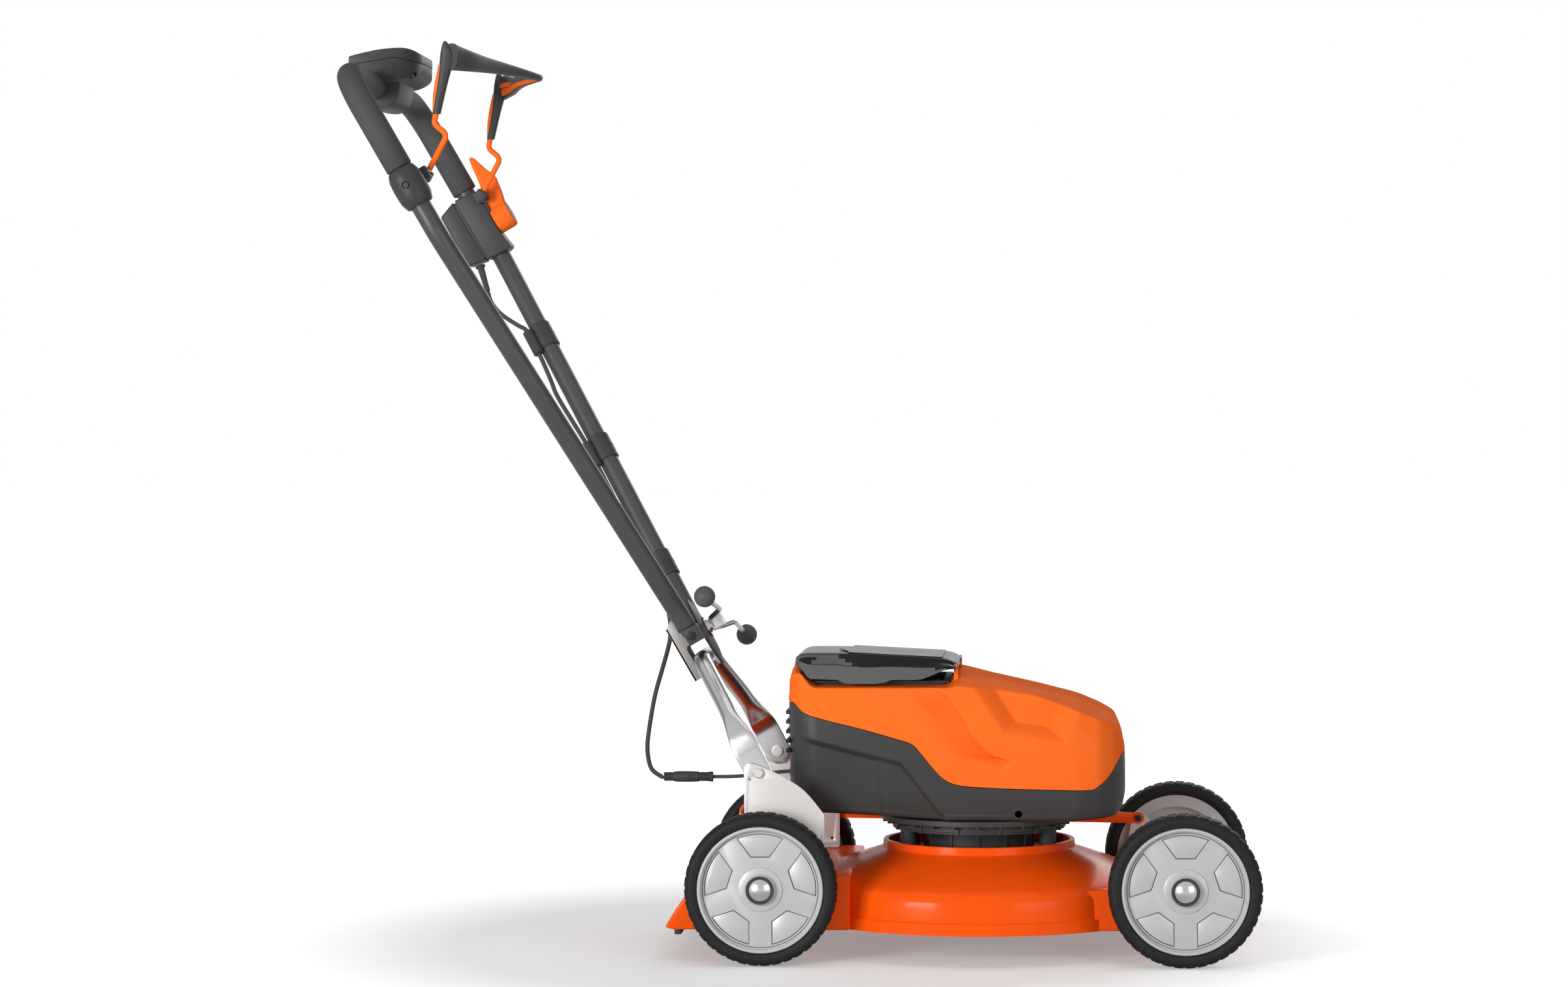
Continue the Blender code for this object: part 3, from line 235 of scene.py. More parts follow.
GRIP_FOAM = Finish("grip_foam", (0.066, 0.066, 0.068), 0.70, Grain.FOAM, specular=0.18)
RIM_SILVER = Finish("silver_rim_plastic", (0.50, 0.505, 0.51), 0.36, metallic=0.15, shade_spread=0.03)
# Painted shade: a dark grey at the floor of the grooves round the rim's panels.
PAINTED_GROOVE_SHADE = Finish("painted_groove_shade", (0.10, 0.10, 0.105), 0.42, metallic=0.15, shade_spread=0.03)
TUBE_SATIN = Finish("dark_satin_coat", (0.070, 0.070, 0.072), 0.40, Grain.PLATED, metallic=0.25)
CHROME = Finish("bright_chrome", (0.62, 0.62, 0.625), 0.20, Grain.POLISHED, metallic=1.0,
                shade_spread=0.05, gloss_spread=0.04)
ZINC = Finish("white_zinc", (0.66, 0.63, 0.61), 0.38, Grain.PLATED, metallic=0.6, shade_spread=0.04)
# A darker copy of the white zinc, used on the clamp channel.
ZINC_DARKER = Finish("darker_zinc", (0.30, 0.285, 0.275), 0.45, Grain.PLATED, metallic=0.3, shade_spread=0.04)
DARK_STEEL = Finish("darkened_steel", (0.16, 0.16, 0.17), 0.40, Grain.PLATED, metallic=1.0)
CAST_METAL = Finish("dull_cast_metal", (0.040, 0.040, 0.041), 0.48, Grain.CAST)
WINDING = Finish("stator_winding", (0.40, 0.20, 0.09), 0.40, Grain.PLATED, metallic=1.0)
BOARD = Finish("circuit_board", (0.02, 0.12, 0.05), 0.45)

SLOT_FINISH = {
    "orange_coat": ORANGE_COAT, "orange_casting": ORANGE_COAT, "orange_plastic": ORANGE_MOULD,
    "black_plastic": DARK_MOULD, "smoked_plastic": SMOKED_TOP, "tyre_rubber": TREAD_RUBBER,
    "soft_rubber": SOFT_RUBBER, "rim_plastic": RIM_SILVER, "tube_coat": TUBE_SATIN,
    "chrome": CHROME, "zinc_steel": ZINC, "dark_steel": DARK_STEEL, "cast_aluminium": CAST_METAL,
    "stator_stack": WINDING, "board_green": BOARD,
}


def smoothstep(low: float, high: float, value: float) -> float:
    """Ease from 0 to 1 between two values.

    Args:
        low: Where the result is 0.
        high: Where the result is 1.
        value: The value to ease.

    Returns:
        The eased share.
    """
    share = min(1.0, max(0.0, (value - low) / (high - low)))
    return share * share * (3.0 - 2.0 * share)


def along(table: Sequence[Pair], value: float) -> float:
    """Read a value from a row of (position, value) pairs by straight lines.

    Args:
        table: Pairs in order of position.
        value: The position to read at.

    Returns:
        The value there, held at the ends.
    """
    if value <= table[0][0]:
        return table[0][1]
    for (x0, y0), (x1, y1) in zip(table, table[1:]):
        if value <= x1:
            return y0 + (y1 - y0) * (value - x0) / (x1 - x0)
    return table[-1][1]


def curve_through(points: Sequence[Sequence[float]], steps: int) -> list[Vector]:
    """Densify a row of points on a smooth curve through them.

    Args:
        points: Points of two or three coordinates.
        steps: Steps between two points.

    Returns:
        The points of the curve, ends included.
    """
    row = [Vector(point) for point in points]
    ends = [row[0] * 2.0 - row[1], *row, row[-1] * 2.0 - row[-2]]
    fine = []
    for a, b, c, d in zip(ends, ends[1:], ends[2:], ends[3:]):
        for step in range(steps):
            t = step / steps
            fine.append(0.5 * (2.0 * b + (c - a) * t + (2.0 * a - 5.0 * b + 4.0 * c - d) * t ** 2
                               + (3.0 * b - a - 3.0 * c + d) * t ** 3))
    fine.append(row[-1])
    return fine


def curve_pairs(points: Sequence[Pair], steps: int) -> list[Pair]:
    """Pairs on a smooth curve through a row of pairs."""
    return [(p.x, p.y) for p in curve_through(points, steps)]


def even_route(points: Sequence[Sequence[float]], spacing: float) -> list[Vector]:
    """Points at even steps along a smooth curve through a route.

    Args:
        points: The route's own points.
        spacing: Distance between two points of the result.

    Returns:
        The evenly spaced points, ends included.
    """
    fine = curve_through(points, 20)
    length = path_length(fine)
    count = max(2, round(length / spacing))
    route = [fine[0]]
    walked = 0.0
    for p, q in zip(fine, fine[1:]):
        run = (q - p).length
        while len(route) < count and walked + run >= length * len(route) / count:
            route.append(p.lerp(q, (length * len(route) / count - walked) / run))
        walked += run
    route.append(fine[-1])
    return route


def path_length(path: Sequence[Vector]) -> float:
    """Length of a path."""
    return sum((q - p).length for p, q in zip(path, path[1:]))


def filleted(corners: Sequence[Sequence[float]], radii: Sequence[float], steps: int = 10) -> list[Vector]:
    """Round the inner corners of a row of straight runs.

    Args:
        corners: The runs' ends.
        radii: One radius for each inner corner, 0 for a corner that stays as it is.
        steps: Steps along each arc.

    Returns:
        The points of the rounded path.
    """
    row = [Vector(corner) for corner in corners]
    path = [row[0]]
    for before, corner, after, radius in zip(row, row[1:], row[2:], radii):
        if not radius:
            path.append(corner)
            continue
        back = (before - corner).normalized()
        ahead = (after - corner).normalized()
        half = back.angle(ahead) / 2.0
        centre = corner + (back + ahead).normalized() * radius / math.sin(half)
        reach = radius / math.tan(half)
        first = (corner + back * reach - centre).normalized()
        last = (corner + ahead * reach - centre).normalized()
        path += [centre + first.slerp(last, step / steps) * radius for step in range(steps + 1)]
    path.append(row[-1])
    return path


def both_sides(half: Iterable[Sequence[float]]) -> list[Triple]:
    """Extend a path of the left half by its mirror image, walked backwards."""
    left = [tuple(p) for p in half]
    return left + [(p[0], -p[1], p[2]) for p in reversed(left) if abs(p[1]) > 1e-9]


def circle(centre: Pair, radius: float, sides: int = 32) -> list[Pair]:
    """Points of a circle in a plane of two coordinates."""
    angles = [2.0 * math.pi * i / sides for i in range(sides)]
    return [(centre[0] + radius * math.cos(a), centre[1] + radius * math.sin(a)) for a in angles]


def across(x: float, z: float, outward: float = 1.0, turn: float = 0.0) -> Matrix:
    """A frame at (x, z) whose Z axis points left for outward 1 and right for outward -1."""
    turned = Euler((-outward * math.pi / 2.0, turn, 0.0)).to_matrix().to_4x4()
    return Matrix.Translation((x, 0.0, z)) @ turned


def aimed(start: Sequence[float], direction: Sequence[float]) -> Matrix:
    """A frame at a start whose Z axis points in a direction."""
    turn = Vector(direction).to_track_quat("Z", "Y").to_matrix().to_4x4()
    return Matrix.Translation(Vector(start)) @ turn


def leg_y(s: float) -> float:
    """Distance of a leg's centre line from the mid-plane at a height up the handle."""
    return HANDLE_HALF_WIDTH + LEG_SPLAY * min(s, 0.0)


def on_handle(x: float, y: float, s: float) -> Vector:
    """A point of the handle's frame in the machine's frame."""
    return HANDLE @ Vector((x, y, s))


def even_turns(count: int, lead: float = 0.0) -> list[Matrix]:
    """Even turns about Z, a number of them, from a leading angle."""
    return [Matrix.Rotation(lead + 2.0 * math.pi * i / count, 4, "Z") for i in range(count)]


def poured(name: str, bm: BMesh) -> bpy.types.Mesh:
    """Pour a working mesh into a stored one and free it."""
    mesh = bpy.data.meshes.new(name)
    bm.to_mesh(mesh)
    bm.free()
    return mesh


def linked(name: str, data: bpy.types.ID) -> bpy.types.Object:
    """Put an object that shows some data into the scene."""
    obj = bpy.data.objects.new(name, data)
    bpy.context.scene.collection.objects.link(obj)
    return obj


def outward(bm: BMesh) -> BMesh:
    """Turn every face outward."""
    bmesh.ops.recalc_face_normals(bm, faces=bm.faces)
    if bm.calc_volume(signed=True) < 0.0:
        bmesh.ops.reverse_faces(bm, faces=bm.faces)
    return bm


def mended(bm: BMesh) -> BMesh:
    """Merge doubles and turn every face outward."""
    bmesh.ops.remove_doubles(bm, verts=bm.verts, dist=1e-6)
    return outward(bm)


def moved(bm: BMesh, matrix: Matrix) -> BMesh:
    """Move a whole mesh by a matrix."""
    bmesh.ops.transform(bm, matrix=matrix, verts=bm.verts)
    return bm


def gathered(parts: Iterable[BMesh]) -> BMesh:
    """Pour several meshes into one and free them.

    Args:
        parts: The meshes.

    Returns:
        One mesh that holds them all.
    """
    whole = bmesh.new()
    for part in parts:
        mesh = poured("pour", part)
        whole.from_mesh(mesh)
        bpy.data.meshes.remove(mesh)
    return whole


def repeated(part: BMesh, places: Iterable[Matrix]) -> BMesh:
    """Copy a mesh to several places.

    Args:
        part: The mesh, which is freed.
        places: One matrix for each copy.

    Returns:
        The copies in one mesh.
    """
    mesh = poured("pattern", part)
    whole = bmesh.new()
    for place in places:
        copy = mesh.copy()
        copy.transform(place)
        whole.from_mesh(copy)
        bpy.data.meshes.remove(copy)
    bpy.data.meshes.remove(mesh)
    return whole


def rounded(bm: BMesh, width: float, segments: int = 2, angle: float = 40.0) -> BMesh:
    """Bevel every edge that is sharper than an angle.

    Args:
        bm: The mesh.
        width: The bevel's width.
        segments: Steps across the bevel.
        angle: Least angle between two faces, in degrees.

    Returns:
        The same mesh.
    """
    bm.normal_update()
    sharp = [edge for edge in bm.edges
             if len(edge.link_faces) == 2 and edge.calc_face_angle() > math.radians(angle)]
    bmesh.ops.bevel(bm, geom=sharp, offset=width, offset_type="OFFSET", segments=segments,
                    profile=0.5, affect="EDGES", clamp_overlap=True, material=-1)
    return bm


def lathe(profile: Sequence[Sequence[float]], steps: int = 64, closed: bool = False,
          frame: Matrix = IDENTITY) -> BMesh:
    """Spin a profile of (radius, height) pairs about the frame's Z axis.

    Args:
        profile: The pairs, from axis to axis, or a loop if closed.
        steps: Steps round the axis.
        closed: Whether the profile is a loop.
        frame: Where the result goes.

    Returns:
        The turned mesh.
    """
    bm = bmesh.new()
    verts = [bm.verts.new((pair[0], 0.0, pair[1])) for pair in profile]
    edges = [bm.edges.new(pair) for pair in zip(verts, verts[1:])]
    if closed:
        edges.append(bm.edges.new((verts[-1], verts[0])))
    bmesh.ops.spin(bm, geom=verts + edges, cent=(0.0, 0.0, 0.0), axis=(0.0, 0.0, 1.0),
                   angle=2.0 * math.pi, steps=steps, use_merge=True)
    return moved(mended(bm), frame)


def slab(outline: Sequence[Pair], low: float, high: float, holes: Sequence[Sequence[Pair]] = (),
         frame: Matrix = IDENTITY) -> BMesh:
    """Extrude an outline of (x, z) pairs along Y.

    Args:
        outline: The outer loop.
        low: Where it starts along Y.
        high: Where it ends along Y.
        holes: Inner loops that stay open.
        frame: Where the result goes.

    Returns:
        The plate.
    """
    bm = bmesh.new()
    edges = []
    for loop in (outline, *holes):
        verts = [bm.verts.new((pair[0], low, pair[1])) for pair in loop]
        edges += [bm.edges.new(pair) for pair in zip(verts, verts[1:] + verts[:1])]
    if holes:
        bmesh.ops.triangle_fill(bm, edges=edges, use_beauty=True, use_dissolve=False)
    else:
        bmesh.ops.contextual_create(bm, geom=edges)
    grown = bmesh.ops.extrude_face_region(bm, geom=bm.faces[:])
    fresh = [item for item in grown["geom"] if isinstance(item, bmesh.types.BMVert)]
    bmesh.ops.translate(bm, vec=(0.0, high - low, 0.0), verts=fresh)
    return moved(outward(bm), frame)


def block(low: Triple, high: Triple, width: float, frame: Matrix = IDENTITY) -> BMesh:
    """A box between two corners with rounded edges.

    Args:
        low: Lowest corner.
        high: Highest corner.
        width: Width of the rounding.
        frame: Where the result goes.

    Returns:
        The box.
    """
    bm = bmesh.new()
    size = Vector(high) - Vector(low)
    place = Matrix.Translation((Vector(low) + Vector(high)) / 2.0) @ Matrix.Diagonal((*size, 1.0))
    bmesh.ops.create_cube(bm, size=1.0, matrix=place)
    return moved(rounded(bm, width, 3), frame)


def wrapped(points: Iterable[Triple], frame: Matrix = IDENTITY) -> BMesh:
    """The convex hull of some points."""
    bm = bmesh.new()
    for point in points:
        bm.verts.new(point)
    bmesh.ops.convex_hull(bm, input=bm.verts)
    bmesh.ops.dissolve_limit(bm, angle_limit=math.radians(1.0), verts=bm.verts, edges=bm.edges)
    return moved(mended(bm), frame)


def lofted(rings: Sequence[Sequence[Sequence[float]]], closed: bool = True, caps: bool = True,
           frame: Matrix = IDENTITY) -> BMesh:
    """Skin a row of rings of equal count by extruding the first one from ring to ring.

    Args:
        rings: The rings' points.
        closed: Whether each ring is a loop.
        caps: Whether both ends get a face.
        frame: Where the result goes.

    Returns:
        The skin.
    """
    bm = bmesh.new()
    place = bm.verts.layers.int.new("place")
    verts = [bm.verts.new(point) for point in rings[0]]
    for index, vert in enumerate(verts):
        vert[place] = index
    pairs = list(zip(verts, verts[1:])) + ([(verts[-1], verts[0])] if closed else [])
    edges = [bm.edges.new(pair) for pair in pairs]
    first = list(edges)
    for ring in rings[1:]:
        grown = bmesh.ops.extrude_edge_only(bm, edges=edges)["geom"]
        fresh = {item for item in grown if isinstance(item, bmesh.types.BMVert)}
        for vert in fresh:
            vert.co = ring[vert[place]]
        edges = [item for item in grown if isinstance(item, bmesh.types.BMEdge)
                 and item.verts[0] in fresh and item.verts[1] in fresh]
    if caps:
        bmesh.ops.contextual_create(bm, geom=first)
        bmesh.ops.contextual_create(bm, geom=edges)
    return moved(outward(bm), frame)


def travelling(path: Sequence[Vector]) -> list[tuple[Vector, Vector, Vector]]:
    """Frames that travel along a path without twisting.

    Args:
        path: The path's points.

    Returns:
        For each point, the point and two directions across the path.
    """
    points = [Vector(point) for point in path]
    tangents = []
    for index in range(len(points)):
        ahead = points[min(index + 1, len(points) - 1)] - points[max(index - 1, 0)]
        tangents.append(ahead.normalized())
    side = tangents[0].orthogonal().normalized()
    frames = []
    for point, tangent in zip(points, tangents):
        side = (side - tangent * side.dot(tangent)).normalized()
        frames.append((point, side, tangent.cross(side)))
    return frames


def pipe(path: Sequence[Vector], radius: float | Callable[[float], float], sides: int = 24,
         frame: Matrix = IDENTITY) -> BMesh:
    """A round bar along a path.

    Args:
        path: The centre line.
        radius: The radius, or a function of the share of the length.
        sides: Sides of the section.
        frame: Where the result goes.

    Returns:
        The bar.
    """
    frames = travelling(path)
    rings = []
    for index, (point, side, up) in enumerate(frames):
        size = radius(index / (len(frames) - 1)) if callable(radius) else radius
        rings.append([point + side * a + up * b for a, b in circle((0.0, 0.0), size, sides)])
    return lofted(rings, frame=frame)


def cross_bar(place: Pair, start: float, end: float, radius: float, sides: int = 24) -> BMesh:
    """A round bar along Y at (x, z), from one distance to another."""
    return pipe([Vector((place[0], y, place[1])) for y in (start, end)], radius, sides)


class Carve(Enum):
    """How a tool works on a body."""

    CUT = "DIFFERENCE"
    JOIN = "UNION"
    KEEP = "INTERSECT"


def carved(body: BMesh, tool: BMesh, way: Carve = Carve.CUT) -> BMesh:
    """Cut a tool from a body, or join it on.

    Args:
        body: The body, which is freed.
        tool: The tool, which is freed.
        way: Whether to cut, to join or to keep what they share.

    Returns:
        The result.
    """
    made = [linked("carve", poured("carve", outward(bm))) for bm in (body, tool)]
    modifier = made[0].modifiers.new("carve", "BOOLEAN")
    modifier.operation = way.value
    modifier.object = made[1]
    result = bmesh.new()
    for solver in ("EXACT", "MANIFOLD"):
        if result.calc_volume() < 1e-12:
            result.clear()
            modifier.solver = solver
            bpy.context.view_layer.update()
            evaluated = made[0].evaluated_get(bpy.context.evaluated_depsgraph_get())
            result.from_mesh(evaluated.to_mesh())
            evaluated.to_mesh_clear()
    for obj in made:
        mesh = obj.data
        bpy.data.objects.remove(obj, do_unlink=True)
        bpy.data.meshes.remove(mesh)
    return result


@dataclass(frozen=True)
class Ride:
    """What a piece moves with and the nodes that it stands for; its slot is stored but not read."""

    body: str
    slot: str
    nodes: tuple[str, ...] = ()


def dressed(name: str, bm: BMesh, finish: Finish, sharp: float) -> bpy.types.Object:
    """Turn a mesh in the machine's frame into a smoothly shaded object.

    Args:
        name: The object's name.
        bm: Its mesh, which is freed.
        finish: Its finish.
        sharp: Edges over this angle, in degrees, are shaded sharp.

    Returns:
        The object.
    """
    mesh = poured(name, moved(bm, WORLD))
    mesh.shade_smooth()
    mesh.set_sharp_from_angle(angle=math.radians(sharp))
    mesh.materials.append(finish.material())
    return linked(name, mesh)


def piece(name: str, bm: BMesh, finish: Finish, ride: Ride, sharp: float = 32.0) -> bpy.types.Object:
    """Turn a mesh in the machine's frame into a dressed piece on a body.

    Args:
        name: The piece's name.
        bm: Its mesh, which is freed.
        finish: Its finish.
        ride: Its body and the nodes it stands for.
        sharp: Edges over this angle, in degrees, are shaded sharp.

    Returns:
        The object.
    """
    obj = dressed(name, bm, finish, sharp)
    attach(obj, ride.body)
    if ride.nodes:
        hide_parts(*ride.nodes)
    LOG.info("%s: %d faces on %s", name, len(obj.data.polygons), ride.body)
    return obj


@dataclass
class Studio:
    """Camera, floor, lamps and background."""

    camera_place: Triple = (0.3782, -5.499, 0.7544)
    yaw: float = 4.2389
    pitch: float = 1.1716
    roll: float = -0.2603
    focal_pixels: float = 5935.38
    frame_width: int = 2408
    sensor: float = 36.0
    floor_size: float = 60.0
    floor_grey: float = 0.80
    # near_glow within glow_start of the machine is painted shade round it.
    near_glow: float = 0.27
    far_glow: float = 1.0
    glow_start: float = 0.50
    glow_end: float = 1.15
    mirrored_glow: float = 0.30
    ambient: float = 0.27

    def camera(self) -> None:
        """Place the camera at the photograph's viewing angle."""
        data = bpy.data.cameras.new("camera")
        data.sensor_width = self.sensor
        data.lens = self.focal_pixels / self.frame_width * self.sensor
        data.clip_end = 200.0
        yaw, pitch, roll = (math.radians(a) for a in (self.yaw, self.pitch, self.roll))
        ahead = Vector((-math.sin(yaw) * math.cos(pitch), math.cos(yaw) * math.cos(pitch),
                        -math.sin(pitch)))
        right = Vector((math.cos(yaw), math.sin(yaw), 0.0))
        up = right.cross(ahead)
        level = right * math.cos(roll) + up * math.sin(roll)
        upright = up * math.cos(roll) - right * math.sin(roll)
        turn = Matrix((level, upright, -ahead)).transposed().to_4x4()
        obj = linked("camera", data)
        obj.matrix_world = Matrix.Translation(self.camera_place) @ turn
        bpy.context.scene.camera = obj

    def floor(self) -> None:
        """Lay the pale floor, which shows white to the camera outside the shadow and glows less near the
        machine: painted shade that deepens the shadow under and round it.
        """
        bm = bmesh.new()
        bmesh.ops.create_grid(bm, x_segments=1, y_segments=1, size=self.floor_size / 2.0)
        floor = linked("floor", poured("floor", bm))
        material = bpy.data.materials.new("pale_floor")
        material.use_nodes = True
        graph = Graph(material.node_tree)
        shader = graph.tree.nodes["Principled BSDF"]
        graph.fill(shader, {"Base Color": (*[self.floor_grey] * 3, 1.0), "Roughness": 0.9,
                            "Specular IOR Level": 0.1})
        # Painted shade: the glow rises from near_glow to far_glow between glow_start and glow_end from the
        # floor's centre, so the floor under and round the machine is darker.
        reach = graph.add("VectorMath", {0: graph.add("TexCoord").outputs["Object"]}, "LENGTH")
        ease = graph.add("MapRange", {"Value": reach.outputs["Value"],
                                      "From Min": self.glow_start, "From Max": self.glow_end,
                                      "To Min": self.near_glow, "To Max": self.far_glow})
        glow = graph.add("Emission", {"Strength": ease.outputs["Result"]})
        dark = graph.add("Emission", {"Strength": 0.0})
        rays = graph.add("LightPath").outputs
        seen = graph.add("Math", {0: rays["Is Glossy Ray"], 1: self.mirrored_glow,
                                  2: rays["Is Camera Ray"]}, "MULTIPLY_ADD")
        choice = graph.add("MixShader", {"Fac": seen.outputs["Value"], 1: dark.outputs["Emission"],
                                         2: glow.outputs["Emission"]})
        both = graph.add("AddShader", {0: shader.outputs["BSDF"], 1: choice.outputs["Shader"]})
        graph.fill(graph.tree.nodes["Material Output"], {"Surface": both.outputs["Shader"]})
        floor.data.materials.append(material)

    def world(self) -> None:
        """Light the scene evenly and show white behind it."""
        world = bpy.data.worlds.new("studio")
        world.use_nodes = True
        graph = Graph(world.node_tree)
        lit = graph.tree.nodes["Background"]
        graph.fill(lit, {"Color": (1.0, 1.0, 1.0, 1.0), "Strength": self.ambient})
        parts = graph.add("SeparateXYZ", {"Vector": graph.add("TexCoord").outputs["Generated"]})
        level = graph.add("MapRange", {"Value": parts.outputs["Y"], "From Min": -1.0})
        ramp = graph.add("ValToRGB", {"Fac": level.outputs["Result"]})
        stops = ramp.color_ramp.elements
        stops[0].position, stops[0].color = 0.0, (0.75, 0.75, 0.75, 1.0)
        stops[1].position, stops[1].color = 0.985, (1.0, 1.0, 1.0, 1.0)
        for where, grey in ((0.50, 0.70), (0.64, 0.24), (0.90, 0.24)):
            stops.new(where).color = (grey, grey, grey, 1.0)
        rays = graph.add("LightPath").outputs
        shown = graph.add("Mix", {"Factor": rays["Is Camera Ray"]})
        shown.data_type = "RGBA"
        colours = [socket for socket in shown.inputs if socket.type == "RGBA"]
        colours[1].default_value = (1.0, 1.0, 1.0, 1.0)
        graph.tree.links.new(ramp.outputs["Color"], colours[0])
        mixed = [socket for socket in shown.outputs if socket.type == "RGBA"]
        white = graph.add("Background", {"Color": mixed[0]})
        first = graph.add("Math", {0: rays["Is Camera Ray"], 1: rays["Is Glossy Ray"]}, "MAXIMUM")
        seen = graph.add("Math", {0: first.outputs["Value"], 1: rays["Is Transmission Ray"]}, "MAXIMUM")
        choice = graph.add("MixShader", {"Fac": seen.outputs["Value"], 1: lit.outputs["Background"],
                                         2: white.outputs["Background"]})
        graph.fill(graph.tree.nodes["World Output"], {"Surface": choice.outputs["Shader"]})
        bpy.context.scene.world = world

    def lamp(self, name: str, place: Triple, aim: Triple, size: float, power: float) -> None:
        """Hang one soft lamp.

        Args:
            name: Its name.
            place: Where it hangs.
            aim: The point that it faces.
            size: Its side.
            power: Its power in watts.
        """
        data = bpy.data.lights.new(name, "AREA")
        data.shape = "SQUARE"
        data.size = size
        data.energy = power
        obj = linked(name, data)
        obj.matrix_world = aimed(place, Vector(place) - Vector(aim))
        obj.visible_camera = False

    def build(self) -> None:
        """Make the whole studio."""
        bpy.context.scene.view_settings.view_transform = "Standard"
        self.camera()
        self.floor()
        self.world()
        self.lamp("top_lamp", (0.2, -0.4, 3.8), (0.0, 0.0, 0.5), 3.0, 13.0)
        self.lamp("key_lamp", (-2.9, -4.3, 1.1), (0.0, 0.0, 0.4), 1.8, 195.0)
        self.lamp("fill_lamp", (3.4, -4.2, 1.3), (0.0, 0.0, 0.5), 2.4, 58.0)
        self.lamp("rear_lamp", (1.5, 4.0, 2.6), (0.0, 0.0, 0.6), 2.4, 40.0)


